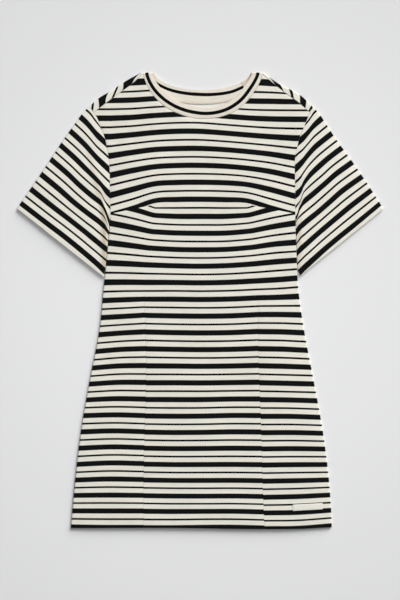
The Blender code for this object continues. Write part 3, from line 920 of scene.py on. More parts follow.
def frontGrid():
    page = panelPage("front")
    x, y = page[..., 0], page[..., 1]
    kept = np.where(isMiddle, np.sqrt(np.abs(np.sin(math.pi * shareOf))) / 2, 0.0)
    share = np.concatenate((np.zeros(len(lowerShares)), upperShares[1:]))[:, None]
    z = 2 * fold + (frontHeight(x, y) - 2 * fold) * (1 - share**3 * (1 - kept))
    z -= np.array([rollDropAt(row) for row in y])
    lowest = np.minimum(y, garment["underarm"])
    inside = np.minimum(x - bodyLine("leftEdge", lowest), bodyLine("rightEdge", lowest) - x)
    fromSide, fromTop = inside - fold, (1 - share) * panel["upperHeight"]
    calm = smoothStep(fromSide / panel["waveEnd"]) * smoothStep(fromTop / panel["waveEnd"])
    z += softWaves(x, y, panel["waveHeight"]) * calm
    z -= dartCreases(x, y) * smoothStep(inside / panel["creaseEnd"])
    z -= seamDips(x, y, share)
    return np.stack([x, y, z], axis=-1)


def frontPatches(points):
    bustRow = len(lowerShares) - 1
    patches = []
    ends = 0, leftLineAt, rightLineAt, len(columns) - 1
    for part, first, last in zip(("left", "middle", "right"), ends[:-1], ends[1:]):
        cut = points[: bustRow + 1, first : last + 1]
        number = roundedStripesBelow(part, cut[..., 0], cut[..., 1])
        patches.append((0, first, cut[..., 0], number * stripes["period"]))
    cut = points[bustRow:]
    number = stripesAbove(cut[..., 0], cut[..., 1])
    patches.append((bustRow, 0, cut[..., 0], number * stripes["period"]))
    return patches


def makeFront():
    points = frontGrid()
    piece = makeSheet("frontPanel", points, frontPatches(points), 1)
    settle(piece, [jersey], "front")
    addWarmShade(piece, frontLinesAndShade)
    return piece


strip = {
    "turnSteps": 10,
    "flatSteps": 6,
    "alongStep": 0.01,  # the share of the fold over which its direction is read
    # the stripes on the strips: stripe, its height on the page at the fold and at the seam, in mm
    "left": ((-1.2, 362.0, 352.0), (-1.5, 375.3, 355.0), (-1.85, 384.1, 365.2), (-2.15, 395.4, 374.3),
             (-2.5, 406.4, 385.0), (-2.85, 414.2, 398.5), (-3.15, 434.5, 411.5), (-3.4, 452.0, 428.0)),
    "right": ((-1.2, 358.0, 351.0), (-1.5, 368.5, 359.0), (-1.85, 380.6, 365.3), (-2.15, 390.4, 373.8),
              (-2.5, 400.8, 384.7), (-2.85, 411.0, 397.4), (-3.15, 424.8, 410.1), (-3.4, 436.0, 422.0)),
}


def shoulderWrap():
    # rows of the back's cloth over both shoulders, where each point lies in the uncut cloth, and
    # its distance from the fold and its stripe number on the strip
    steps = [(math.pi * k / strip["turnSteps"], 0.0) for k in range(1, strip["turnSteps"] + 1)]
    steps += [(math.pi, (k + 1) / strip["flatSteps"]) for k in range(strip["flatSteps"])]
    points = np.full((len(steps), len(columns), 3), np.nan)
    cloth, onStrip = np.zeros((2, len(steps), len(columns), 2))
    for side, lastColumn in (("left", leftLineAt), ("right", rightLineAt)):
        foldPoint, seamPoint, share = shoulderLines(side)
        beside = (np.clip(share + step, 0, 1) for step in (-strip["alongStep"], strip["alongStep"]))
        behind, ahead = (pointOn(garment["shoulderFolds"][side], place) for place in beside)
        along = unit(ahead - behind)
        gap = seamPoint - foldPoint
        reach = np.linalg.norm(gap, axis=-1, keepdims=True)
        numbers, atFold, atSeam = np.array(strip[side]).T
        onFold = readCurve(atFold / 1000, numbers, foldPoint[:, 1])
        onSeam = readCurve(atSeam / 1000, numbers, seamPoint[:, 1])
        chosen = partOf == side
        chosen[lastColumn] = True
        for k, (angle, flat) in enumerate(steps):
            distance = mix(fold * (1 - math.sin(angle)), reach, flat)
            inCloth = (gap / reach) * distance
            mirrored = 2 * (inCloth * along).sum(axis=-1, keepdims=True) * along - inCloth
            height = np.full((len(columns), 1), fold * (1 - math.cos(angle)))
            points[k, chosen] = np.hstack([foldPoint + inCloth, height])[chosen]
            cloth[k, chosen] = (foldPoint + (inCloth if angle < math.pi / 2 else mirrored))[chosen]
            number = mix(onFold, onSeam, (distance / reach)[:, 0])
            onStrip[k, chosen] = np.column_stack([distance[:, 0], number])[chosen]
    return points, cloth, onStrip


def makeBack():
    page = panelPage("back")
    z = np.array([rollDropAt(row) for row in page[..., 1]])
    flat = np.concatenate([page, z[..., None]], axis=-1)
    wrap, wrapCloth, onStrip = shoulderWrap()
    points = np.concatenate([flat, wrap])
    uncut = np.concatenate([page, wrapCloth])
    turned = strip["turnSteps"] // 2  # the strip's own stripes start half way round the fold
    number = stripesOnBack(uncut[..., 0], uncut[..., 1])[: len(page) + turned]
    patches = [(0, 0, uncut[: len(number), :, 0], number * stripes["period"])]
    onStrip = onStrip[turned - 1 :]
    patches.append((len(number) - 1, 0, onStrip[..., 0], onStrip[..., 1] * stripes["period"]))
    missing = np.isnan(points[..., 0])
    piece = makeSheet("backPanel", np.nan_to_num(points), patches, -1, missing=missing)
    settle(piece, [jersey, jerseyInside], "back")
    addWarmShade(piece, backLinesAndShade)
    return piece


front = makeFront()
back = makeBack()


# the sleeves

sleeve = {
    "step": 0.0032,
    "length": 0.325,  # about how long and wide it is
    "width": 0.14,
    "extraRows": (0.004, 0.996),
    "fineShare": 0.17,  # the part beside the body where the grid is finer, and its number of steps
    "fineSteps": 26,
    "seamLean": 1.25,
    "loft": 0.0010,
    "loftStart": 0.5,
    "leaving": 0.12,
    "tuckEnd": 0.030,  # the length over which the tuck sets in and ends
    "tuckOver": 0.006,  # how far above its line it goes on
    "tuckRidge": 0.0007,  # the cloth stands up outside the tuck and lies lower inside it
    "tuckRidgeAt": 0.0035,
    "tuckRidgeWidth": 0.0040,
    "tuckDrop": 0.0014,
    "tuckStep": 0.0014,
    "tuckReach": 0.010,
    "waveHeight": 0.00022,
    "waveSpacing": (1.2, 1.3),  # how much closer the waves are than on the body, across and along it
    "waveEnds": (0.02, 0.1, 0.05),  # how they set in from the sides, in m, and from the shoulder and the cuff
    # the places across the sleeve, from the upper fold to the body, where the stripes are given
    "stripePlaces": (0.0, 0.3, 0.5, 0.7, 0.8, 0.85, 0.88, 0.91, 0.94, 0.97, 1.0),
    "left": {
        "outward": -1,
        "upperFold": ((-0.210, 0.369), (-0.2232, 0.3551), (-0.2354, 0.3383), (-0.2577, 0.3075),
                      (-0.2979, 0.2476), (-0.3398, 0.1866), (-0.3478, 0.1746)),
        "cuffCorner": (-0.1825, 0.044),
        "tuck": ((-0.1730, 0.142), (-0.1758, 0.163), (-0.1805, 0.181), (-0.1896, 0.210)),
        # each stripe, and how far down the sleeve it lies at those places, in thousandths
        "stripes": (
            (-0.5, 38, 41, 46, 61, 69, 73, 76, 80, 85, 89, 95),
            (0, 112, 125, 142, 166, 174, 177, 179, 181, 183, 186, 190),
            (1, 250, 272, 293, 321, 332, 337, 339, 342, 345, 348, 350),
            (1.5, 319, 342, 363, 389, 402, 408, 411, 414, 417, 420, 422),
            (2, 387, 411, 432, 454, 467, 476, 483, 488, 493, 496, 499),
            (2.5, 455, 478, 499, 515, 522, 529, 543, 559, 568, 574, 578),
            (3, 524, 545, 567, 582, 586, 588, 595, 611, 630, 655, 680),
            (3.5, 595, 614, 632, 645, 646, 650, 652, 656, 666, 684, 704),
            (4, 667, 683, 698, 704, 705, 705, 707, 710, 712, 719, 731),
            (4.5, 739, 752, 760, 766, 767, 770, 771, 772, 774, 777, 781),
            (5, 811, 819, 821, 825, 829, 830, 831, 832, 833, 833, 833),
            (6, 949, 948, 946, 949, 952, 954, 955, 957, 959, 962, 964),
        ),
        "spacingAtCuff": 0.126,
    },
    "right": {
        "outward": 1,
        "upperFold": ((0.2148, 0.3670), (0.2264, 0.3544), (0.2393, 0.3352), (0.2577, 0.3074),
                      (0.3004, 0.2481), (0.3406, 0.1873), (0.3482, 0.1738)),
        "cuffCorner": (0.1904, 0.0467),
        "tuck": ((0.1834, 0.142), (0.1868, 0.165), (0.1910, 0.187), (0.1967, 0.216)),
        "stripes": (
            (-0.5, 37, 39, 45, 57, 63, 66, 68, 69, 70, 71, 72),
            (0, 115, 124, 135, 159, 170, 173, 175, 176, 178, 180, 182),
            (1, 261, 275, 287, 312, 329, 335, 338, 340, 343, 345, 347),
            (2, 403, 413, 425, 443, 462, 477, 492, 500, 505, 506, 508),
            (2.5, 475, 482, 497, 508, 516, 524, 539, 559, 569, 574, 581),
            (3, 547, 550, 563, 575, 579, 581, 586, 597, 611, 645, 659),
            (3.5, 618, 619, 631, 644, 648, 650, 651, 653, 656, 660, 671),
            (4, 688, 687, 700, 711, 713, 715, 717, 718, 722, 728, 738),
            (4.5, 754, 756, 765, 776, 781, 784, 786, 786, 789, 797, 806),
            (5, 821, 824, 832, 840, 846, 849, 852, 853, 855, 857, 863),
            (5.5, 886, 891, 896, 904, 911, 914, 916, 918, 922, 925, 929),
            (6, 952, 959, 961, 966, 971, 973, 975, 976, 978, 980, 982),
        ),
        "spacingAtCuff": 0.105,
    },
}


def sleeveUpper(side, down):
    line = pointOn(sleeve[side]["upperFold"], down)
    line[..., 0] += sleeve[side]["outward"] * garment["seamGap"] * 2 * (1 - down)
    return line


def sleeveInner(side, down):
    shape = sleeve[side]
    corner = shape["cuffCorner"]
    seamEnd = garment["shoulderSeams"][side][0][1]
    height = mix(seamEnd, corner[1], down)
    gap = shape["outward"] * garment["seamGap"]
    edge = bodyLine(side + "Edge", height)
    atCorner = corner[0] - bodyLine(side + "Edge", corner[1])
    toCorner = (height - corner[1]) / (garment["underarm"] - corner[1])
    leaving = smoothStep(1 - toCorner / sleeve["leaving"])
    beside = edge + mix(gap, atCorner, leaving)
    along = armhole(side, np.maximum(height, garment["underarm"])) + gap
    return np.stack([np.where(height >= garment["underarm"], along, beside), height], axis=-1)


def tuckPlace(side, x, y):
    # how far outside the tuck's line each place lies, and how much of the tuck there is at its height
    places, heights = np.array(sleeve[side]["tuck"]).T
    outside = sleeve[side]["outward"] * (x - readCurve(heights, places, y))
    length = sleeve["tuckEnd"]
    started = easeFrom(y, heights[0] - length, length)
    return outside, started * smoothStep((heights[-1] + sleeve["tuckOver"] - y) / length)


def tuckHeight(side, page):
    outside, ends = tuckPlace(side, *page.T)
    ridge = sleeve["tuckRidge"] * bump(outside - sleeve["tuckRidgeAt"], sleeve["tuckRidgeWidth"])
    inside = smoothStep(0.5 - outside / sleeve["tuckStep"])
    inside = inside * bump(np.minimum(outside, 0), sleeve["tuckReach"])
    return (ridge - sleeve["tuckDrop"] * inside) * ends


def sleeveGrid(side):
    down = np.unique([*evenShares(sleeve["length"], sleeve["step"]), *sleeve["extraRows"]])
    upper, inner = sleeveUpper(side, down), sleeveInner(side, down)
    length = np.linalg.norm(inner - upper, axis=-1)
    folded = foldedAt(inner[:, 1])
    foldShare, seamShare = fold / length, fold * sleeve["seamLean"] / length
    level, none = np.full_like(down, fold), np.zeros_like(down)
    top = []  # place across from the upper fold, height over the middle, share of the flat stretch
    for foldedIn, foldedDown, flat in rollShares():
        place = 1 - seamShare * mix(flat, foldedIn, turnedBy(folded))
        top.append((place, fold - (fold - garment["seamGap"] / 2) * foldedDown * folded, none))
    fine = sleeve["fineShare"]
    fineShares = np.linspace(0, fine, sleeve["fineSteps"] + 1)[1:-1]
    otherShares = mix(fine, 1, evenShares(sleeve["width"], sleeve["step"]))[:-1]
    for share in (*fineShares, *otherShares):
        top.append((mix(1 - seamShare, foldShare, share), level, none + share))
    for angle in np.linspace(0, math.pi / 2, panel["rollSteps"] + 1):
        top.append((foldShare * (1 - math.sin(angle)), level * math.cos(angle), none))
    points = []
    calmSide, calmShoulder, calmCuff = sleeve["waveEnds"]
    calmEnds = smoothStep(down / calmShoulder) * smoothStep((1 - down) / calmCuff)
    for place, rise, flat in top:
        page = mix(upper, inner, place[:, None])
        loft = sleeve["loft"] * np.sqrt(4 * flat * (1 - flat)) * smoothStep(down / sleeve["loftStart"])
        fromSeam, fromFold = (1 - place) * length, place * length
        tuck = tuckHeight(side, page) * smoothStep(fromSeam / sleeve["tuckRidgeWidth"])
        waves = softWaves(*(page * sleeve["waveSpacing"]).T, sleeve["waveHeight"])
        calm = smoothStep((np.minimum(fromSeam, fromFold) - fold) / calmSide) * calmEnds
        dip = panel["seamDip"] * bump(fromSeam, panel["seamDipWidth"]) * (1 - folded)
        isFlat = rise >= fold - 1e-9
        z = fold + rise + (loft + tuck + waves * calm - dip) * isFlat
        points.append(np.column_stack([page, z]))
    under = top[-2::-1]
    for place, rise, _ in under:
        points.append(np.column_stack([mix(upper, inner, place[:, None]), fold - rise]))
    places = [place for place, _, _ in top + under]
    return np.stack(points, axis=1), np.stack(places, axis=1), down, length


def makeSleeve(side, facing):
    points, places, down, length = sleeveGrid(side)
    table = np.array(sleeve[side]["stripes"])
    numbers, knots = table[:, 0], table[:, 1:] / 1000
    # the stripes go on beyond both ends
    above, below = knots[:1] - 2 * (knots[1:2] - knots[:1]), knots[-1:] + sleeve[side]["spacingAtCuff"]
    knots = np.concatenate([above, knots, below])
    numbers = np.array([numbers[0] - 1, *numbers, numbers[-1] + 1])
    weights = curveWeights(sleeve["stripePlaces"], places.ravel())
    number = stripeNumbers(weights @ knots.T, numbers, np.repeat(down, places.shape[1]))
    across = places * length[:, None]
    across[:, places.shape[1] // 2 :] *= -1
    patches = [(0, 0, across, number.reshape(places.shape) * stripes["period"])]
    piece = makeSheet(side + "Sleeve", points, patches, facing)
    settle(piece, [jersey], "sleeve_" + side)
    addWarmShade(piece, sleeveLinesAndShade)
    return piece


leftSleeve = makeSleeve("left", 1)
rightSleeve = makeSleeve("right", -1)


# the neckband

band = {
    "loft": 0.0008,
    "endShare": 0.1,
    "thickness": 0.0018,
    "rounding": 0.0006,
    "ribPitch": 0.0015,
    "ribDepth": 0.00014,
    "ribSpeed": 6,  # how fast the ribs reach their depth from both edges
    "across": 16,
    "stations": {"front": 240, "back": 200},
    "turnSteps": 12,
    "crown": 0.00035,
    "width": 0.0187,
    "stripeWidth": 0.0066,
    # share of each half from left to right, and there from the free edge to the middle of the stripe
    "stripePlaces": {
        "front": ((0.0, 0.0118), (0.12, 0.01147), (0.27, 0.01112), (0.5, 0.0109), (0.73, 0.01112),
                  (0.88, 0.01147), (1.0, 0.0118)),
        "back": ((0.0, 0.0118), (0.23, 0.0107), (0.31, 0.0099), (0.37, 0.0092), (0.46, 0.0085),
                 (0.52, 0.0090), (0.60, 0.0100), (0.67, 0.0114), (0.71, 0.0119), (0.75, 0.0117),
                 (1.0, 0.0118)),
    },
    "stripeDrawn": 0.0110,
    "stripeBlur": 0.00012,
    # the band's two ends meet in a cut across its back half
    "cut": ((0.0775, 0.4141), (0.0830, 0.4061)),
    "cutDepth": 0.0009,
    "cutWidth": 0.0007,
    "cutAbove": 0.0010,  # the height from which a point is on the side that shows
    "cutShares": (0.76, 0.88, 70),  # where the grid is finer round it
    "notch": 0.0013,
    "notchWidth": 0.0012,
    "underside": 0.0001,  # the height below which it lies on the surface
    "cream": (0.768, 0.718, 0.626),
    "creamTone": {"Drift": 0.12, "Fuzz": 0.08},
    "black": (0.0010, 0.0011, 0.0012),
    "blackTone": {"Drift": 0.3, "Fuzz": 1.0},
    # the colour of its painted shade, and of the darker line along its seam
    "warm": (0.47, 0.27, 0.16),
    # painted shade between its loops, as on the jersey
    "reliefShadeColour": jerseyFinish["reliefShadeColour"],
    "reliefShade": 0.10,
    "relief": {"Wale Width": 0.00075, "Course Height": 0.0008},  # the width is half of the rib's pitch
    "reliefDepth": 0.00010,
    "roughness": 0.9,
    "roughnessRange": (0.85, 0.95),
    "sheen": 0.04,
    "specular": 0.08,
}


def bandStations():
    # pairs of free-edge and seam-edge points round the neck, front half first, with the stripe's place
    radius = fold + bandRise / 2
    halves, stripePlace = {}, {}
    for half, count in band["stations"].items():
        share = np.linspace(0, 1, count + 1)
        if half == "back":
            share = np.unique(np.concatenate([share, np.linspace(*band["cutShares"])]))
        starts = neckStart(half, inner=1.0), neckStart(half, garment["neckGap"])
        angles = [mix(start, math.pi - start, share) for start in starts]
        inner, outer = neckPoint(half, angles[0], inner=1.0), neckPoint(half, angles[1])
        end = smoothStep(np.minimum(share, 1 - share) / band["endShare"])
        lifted = 2 * fold + bandRise + band["loft"] * np.sqrt(np.maximum(0, np.sin(angles[1])))
        z = mix(2 * radius, lifted, end) if half == "front" else np.zeros_like(share)
        halves[half] = np.stack([np.column_stack([inner, z]), np.column_stack([outer, z])], axis=1)
        stripePlace[half] = readCurve(*zip(*band["stripePlaces"][half]), share)
    turns = math.pi * np.arange(1, band["turnSteps"]) / band["turnSteps"]

    def turn(leaving, arriving, upwards):
        rows = mix(leaving, arriving, (turns / math.pi)[:, None, None])
        rows[..., 1] += radius * np.sin(turns)[:, None]
        rows[..., 2] = radius * (1 - upwards * np.cos(turns))[:, None]
        return rows

    rightTurn = turn(halves["front"][-1], halves["back"][-1], -1)
    leftTurn = turn(halves["back"][0], halves["front"][0], 1)
    atRight, atLeft = (np.full(len(turns), stripePlace["front"][end]) for end in (-1, 0))
    pairs = np.concatenate([halves["front"], rightTurn, halves["back"][::-1], leftTurn])
    stripe = np.concatenate([stripePlace["front"], atRight, stripePlace["back"][::-1], atLeft])
    return pairs, stripe


def pastCut(x, y):
    # how far to the right of the cut across the band each place lies
    start, end = np.array(band["cut"])
    along = (end - start) / np.linalg.norm(end - start)
    return (x - start[0]) * -along[1] + (y - start[1]) * along[0]


def bandSurface():
    pairs, stripe = bandStations()
    share = np.linspace(0, 1, band["across"] + 1)
    points = mix(pairs[:, :1], pairs[:, 1:], share[None, :, None])
    middle = points[:, len(share) // 2]
    along = runningLength(np.concatenate([middle, middle[:1]]))
    ribs = round(along[-1] / band["ribPitch"])
    phase = along[:-1] / along[-1] * ribs * 2 * math.pi
    ahead = np.roll(points, -1, axis=0) - np.roll(points, 1, axis=0)
    sideways = points[:, -1:] - points[:, :1]
    outward = unit(np.cross(ahead, np.broadcast_to(sideways, points.shape)))
    if outward[len(outward) // 5, 3, 2] < 0:  # a place on the front half, which faces up
        outward = -outward
    crown = band["crown"] * (4 * share * (1 - share)) ** 0.5 - band["crown"]
    atEdge, atSeam = (np.minimum(1, band["ribSpeed"] * part) for part in (share, 1 - share))
    ribDepth = band["ribDepth"] * atEdge * atSeam
    relief = crown[None, :] + ribDepth[None, :] * (np.cos(phase)[:, None] - 1) / 2
    underside = points[..., 2] < band["underside"]
    relief = np.where(underside, np.minimum(relief, 0.0), relief)
    notch = band["notch"] * bump(pastCut(points[..., 0], points[..., 1]), band["notchWidth"])
    notch = notch * (1 - share) ** 4
    points = points + unit(sideways) * (notch * underside)[..., None]
    u = np.repeat(along[:, None], len(share), axis=1)
    wide = np.linalg.norm(sideways[..., :2], axis=-1)
    v = share * wide + band["stripeDrawn"] - stripe[:, None]
    x, y, z = np.moveaxis(points, -1, 0)
    hidden = (z < fold) & (pastCut(x, y) > 0) & (x > 0)  # the end that shows no stripe
    v = np.where(hidden, v + 2 * band["width"], v)
    return points + outward * relief[..., None], u, np.concatenate([v, v[:1]])


def bandStripe(tree, coordinates):
    _, v = splitXY(tree, coordinates)
    fromStripe = maths(tree, v, ("SUBTRACT", band["stripeDrawn"]), ("ABSOLUTE",))
    half, blur = band["stripeWidth"] / 2, band["stripeBlur"]
    return ramp(tree, fromStripe, half - blur, half + blur, 1.0, 0.0)


bandWarmShade = {
    "edge": {"left": 0.60, "right": 1.0},  # painted shade on the back half, beside the front half's free edge
    "edgeReach": {"left": 0.0020, "right": 0.0042},
    "edgeStart": (0.396, 0.034),
    # painted shade on the end past the cut, and in the cut itself
    "flap": 0.10,
    "cut": 0.70,
    # a darker line along the neck seam, partly its own line and partly painted shade
    "seam": 0.16,
    "seamReach": 0.0012,
    "lip": 0.10,  # painted shade along the front half's free edge
    "lipReach": 0.0042,
    "top": 0.14,  # painted shade where it goes over the shoulders, which face the light
    "topStart": (0.424, 0.010),
    "ends": 0.05,  # how far from the neck's ends, in radians, its lines start and stop
    "between": 0.001,  # the slack in height with which a point is on the back or on the front half
}


def bandLinesAndShade(x, y, z):
    look = bandWarmShade
    angles = neckAngles(look["ends"], 600)
    away = distanceTo(neckPoint("front", angles, inner=1.0), x, y)
    left, right = (look["edge"][side] * bump(away, look["edgeReach"][side]) for side in ("left", "right"))
    edge = np.where(x < 0, left, right) * easeFrom(y, *look["edgeStart"])
    past = pastCut(x, y)
    flap = look["flap"] * (past > 0) * (x > 0)
    cut = look["cut"] * bump(past, band["cutWidth"]) * (x > 0)
    behind = np.maximum(np.maximum(edge, flap), cut) * (z < fold + look["between"])
    seam = look["seam"] * tent(distanceTo(neckPoint("front", angles), x, y), look["seamReach"])
    lip = look["lip"] * tent(away, look["lipReach"])
    inFront = np.maximum(seam, lip) * (z > 2 * fold - look["between"])
    return np.maximum(np.maximum(behind, inFront), look["top"] * easeFrom(y, *look["topStart"]))


def openCut(piece):
    # the cut goes into the side of the back half that shows
    for vertex in piece.data.vertices:
        x, y, z = vertex.co
        if x > 0 and band["cutAbove"] < z < fold:
            vertex.co.z -= band["cutDepth"] * bump(pastCut(x, y), band["cutWidth"])


def makeBand():
    points, u, v = bandSurface()
    piece = makeSheet("neckBand", points, [(0, 0, u, v)], 1, band)
    settle(piece, [makeClothMaterial("neckRib", band, loopGroup, bandStripe)], "neckband")
    openCut(piece)
    addWarmShade(piece, bandLinesAndShade)
    return piece


neckBand = makeBand()


# the tape inside the back neck, and the label at the hem

wovenFinish = {
    "creamTone": {"Drift": 0.04, "Fuzz": 0.06},
    # the colour of the painted shade, on the pieces that have it
    "warm": (0.52, 0.36, 0.22),
    # painted shade between the threads: its colour and amount
    "reliefShadeColour": (0.35, 0.31, 0.25),
    "reliefShade": 0.12,
    "roughness": 0.85,
    "roughnessRange": (0.80, 0.90),
    "sheen": 0.03,
    "specular": 0.1,
}
tape = {
    **wovenFinish,
    "width": 0.0100,
    "reach": 0.80,
    "drop": 0.0001,
    "thickness": 0.0004,
    "rounding": 0.0003,
    "crown": (0.00035, 0.6),  # how much higher its middle lies, and how round that is
    "steps": 110,
    "across": 8,
    "stitchShares": (0.13, 0.87),  # where its two rows of stitches run
    "stitchInset": 0.02,  # how far from its ends, in radians, they start and stop
    "paintedShade": 0.42,  # painted shadow along its lower edge
    "warmReach": 0.0028,
    "warmEnds": 0.3,
    "cream": (0.780, 0.738, 0.645),
    "relief": {"Thread": 0.00045, "Twill": 0.5},
    "reliefDepth": 0.00012,
}
label = {
    **wovenFinish,
    "centre": (0.2047, -0.3926),
    "size": (0.057, 0.012),
    "turn": math.radians(3),
    "thickness": 0.0006,
    "rounding": 0.0002,
    "lift": 0.0003,
    "steps": (38, 9),
    "middleRise": (0.0003, 0.03),  # how much its middle lies over its sewn ends, and their share of it
    "edgeDrop": (0.00015, 0.06),  # how much its long edges lie lower, and their share of its width
    "stitches": (0.475, 0.46, 0.0003),  # how far out both rows are, how long, and how far up they lie
    "cream": (0.805, 0.790, 0.715),
    "relief": {"Thread": 0.00030, "Twill": 0.0},
    "reliefDepth": 0.00008,
}


def tapeHeight(share):
    crown, power = tape["crown"]
    base = garment["backWall"] + garment["seamGap"] + tape["thickness"]
    return base + crown * (4 * share * (1 - share)) ** power


def tapeEdgeShade(x, y, z):
    lower = neckPoint("back", neckAngles(tape["warmEnds"], 400), tape["drop"] + tape["width"])
    return tape["paintedShade"] * bump(distanceTo(lower, x, y), tape["warmReach"])


def makeTape():
    angles = neckAngles(math.acos(tape["reach"]), tape["steps"] + 1)
    share = np.linspace(0, 1, tape["across"] + 1)
    page = np.stack([neckPoint("back", angles, tape["drop"] + tape["width"] * s) for s in share], axis=1)
    z = np.broadcast_to(tapeHeight(share), page.shape[:2])
    points = np.concatenate([page, z[..., None]], axis=-1)
    v, u = np.meshgrid(share * tape["width"], runningLength(page[:, 0]))
    piece = makeSheet("backNeckTape", points, [(0, 0, u, v)], 1, tape)
    settle(piece, [makeClothMaterial("neckTape", tape, weaveGroup)], "back_neck_tape")
    addWarmShade(piece, tapeEdgeShade)
    return piece


def labelPoint(i, j):
    along = np.array([math.cos(label["turn"]), math.sin(label["turn"])])
    up = np.array([-along[1], along[0]])
    offset = np.multiply.outer(i * label["size"][0], along) + np.multiply.outer(j * label["size"][1], up)
    return np.array(label["centre"]) + offset


def labelHeight(page):
    x, y = page[..., 0], page[..., 1]
    under = frontHeight(x, y) + softWaves(x, y, panel["waveHeight"])
    return under + label["lift"] + label["thickness"]


def makeLabel():
    i, j = np.meshgrid(*(np.linspace(-0.5, 0.5, count + 1) for count in label["steps"]))
    page = labelPoint(i, j)
    (rise, ends), (drop, edges) = label["middleRise"], label["edgeDrop"]
    z = labelHeight(page) + rise * (1 - bump(0.5 - np.abs(i), ends)) - drop * bump(0.5 - np.abs(j), edges)
    points = np.concatenate([page, z[..., None]], axis=-1)
    patches = [(0, 0, i * label["size"][0], j * label["size"][1])]
    piece = makeSheet("hemLabel", points, patches, 1, label)
    return settle(piece, [makeClothMaterial("wovenLabel", label, weaveGroup)], "hem_label")


neckTape = makeTape()
hemLabel = makeLabel()


# stitches

thread = {
    "radius": 0.00022,
    "length": 0.0024,
    "pitch": 0.0030,
    "sink": 0.00008,
    "colour": (0.80, 0.74, 0.63),
    "twist": (0.3, 0.7, 0.0, 0.25),  # the limits of the noise, and how dark it gets between them
    "twistScale": 3000.0,
    "twistDark": 0.75,
    "roughness": 0.6,
    "sheen": 0.1,
    "specular": 0.4,
}


def makeStitchTree():
    tree = bpy.data.node_groups.new("stitchRow", "GeometryNodeTree")
    face = tree.interface
    face.new_socket("Geometry", in_out="INPUT", socket_type="NodeSocketGeometry")
    for name, value in (("Stitch Length", 0.0024), ("Pitch", 0.003), ("Radius", 0.0002), ("Wander", 0.06)):
        face.new_socket(name, in_out="INPUT", socket_type="NodeSocketFloat").default_value = value
    face.new_socket("Seed", in_out="INPUT", socket_type="NodeSocketInt").default_value = 3
    face.new_socket("Thread", in_out="INPUT", socket_type="NodeSocketMaterial")
    face.new_socket("Geometry", in_out="OUTPUT", socket_type="NodeSocketGeometry")
    given, result = tree.nodes.new("NodeGroupInput").outputs, tree.nodes.new("NodeGroupOutput").inputs

    def add(kind, inputs, **settings):
        return addNode(tree, kind, inputs, **settings).outputs[0]

    curve = add("GeometryNodeMeshToCurve", {0: given["Geometry"]})
    curve = add("GeometryNodeResampleCurve", {"Curve": curve, "Length": given["Pitch"]}, mode="LENGTH")
    points = addNode(tree, "GeometryNodeCurveToPoints", {"Curve": curve}, mode="EVALUATED")
    # one stitch: a short arched thread with pointed ends
    line = add("GeometryNodeCurvePrimitiveLine", {"Start": (0, 0, -0.5), "End": (0, 0, 0.5)})
    line = add("GeometryNodeResampleCurve", {"Curve": line, "Count": 5}, mode="COUNT")
    along = addNode(tree, "GeometryNodeSplineParameter", {}).outputs["Factor"]
    arch = addNode(tree, "ShaderNodeFloatCurve", {"Value": along})
    shape = arch.mapping.curves[0]
    shape.points[0].location = (0.0, 0.25)
    shape.points[1].location = (1.0, 0.25)
    shape.points.new(0.25, 0.95)
    shape.points.new(0.75, 0.95)
    arch.mapping.update()
    line = add("GeometryNodeSetCurveRadius", {"Curve": line, "Radius": arch.outputs[0]})
    ring = add("GeometryNodeCurvePrimitiveCircle", {"Resolution": 6, "Radius": given["Radius"]})
    solid = {"Curve": line, "Profile Curve": ring, "Fill Caps": True}
    body = addNode(tree, "GeometryNodeCurveToMesh", solid)
    if "Scale" in body.inputs:
        tree.links.new(arch.outputs[0], body.inputs["Scale"])
    size = add("ShaderNodeCombineXYZ", {"X": 1.0, "Y": 1.0, "Z": given["Stitch Length"]})
    stitch = add("GeometryNodeTransform", {"Geometry": body.outputs[0], "Scale": size})
    low = add("ShaderNodeCombineXYZ", {"X": maths(tree, given["Wander"], ("MULTIPLY", -1.0))})
    high = add("ShaderNodeCombineXYZ", {"X": given["Wander"]})
    limits = {"Min": low, "Max": high, "Seed": given["Seed"]}
    wander = add("FunctionNodeRandomValue", limits, data_type="FLOAT_VECTOR")
    wander = add("FunctionNodeEulerToRotation", {0: wander})
    turn = {"Rotation": points.outputs["Rotation"], "Rotate By": wander}
    turned = add("FunctionNodeRotateRotation", turn, rotation_space="LOCAL")
    placed = {"Points": points.outputs["Points"], "Instance": stitch, "Rotation": turned}
    row = add("GeometryNodeRealizeInstances", {0: add("GeometryNodeInstanceOnPoints", placed)})
    row = add("GeometryNodeSetMaterial", {"Geometry": row, "Material": given["Thread"]})
    tree.links.new(row, result["Geometry"])
    return tree


def makeThreadMaterial():
    material, tree, shader = newMaterial("sewingThread", thread)
    place = addNode(tree, "ShaderNodeTexCoord", {}).outputs["Object"]
    tone = ramp(tree, noise(tree, place, thread["twistScale"]), *thread["twist"])
    dark = tuple(part * thread["twistDark"] for part in thread["colour"])
    tree.links.new(blendColours(tree, tone, thread["colour"], dark), shader.inputs["Base Color"])
    return material


stitchTree = makeStitchTree()
threadMaterial = makeThreadMaterial()


def makeStitches(name, lines, settings):
    # each line is a row of points on the cloth; the stitches follow them all
    mesh = bpy.data.meshes.new(name)
    points, edges = [], []
    for line in lines:
        first = len(points)
        points.extend(line.tolist())
        edges.extend((k, k + 1) for k in range(first, len(points) - 1))
    mesh.from_pydata(points, edges, [])
    piece = newObject(name, mesh)
    modifier = piece.modifiers.new("stitches", "NODES")
    modifier.node_group = stitchTree
    inputs = {item.name: item.identifier for item in stitchTree.interface.items_tree
              if item.item_type == "SOCKET" and item.in_out == "INPUT"}
    modifier[inputs["Stitch Length"]] = settings["length"]
    modifier[inputs["Pitch"]] = settings["pitch"]
    modifier[inputs["Radius"]] = settings["radius"]
    modifier[inputs["Thread"]] = threadMaterial
    return settle(piece, [])


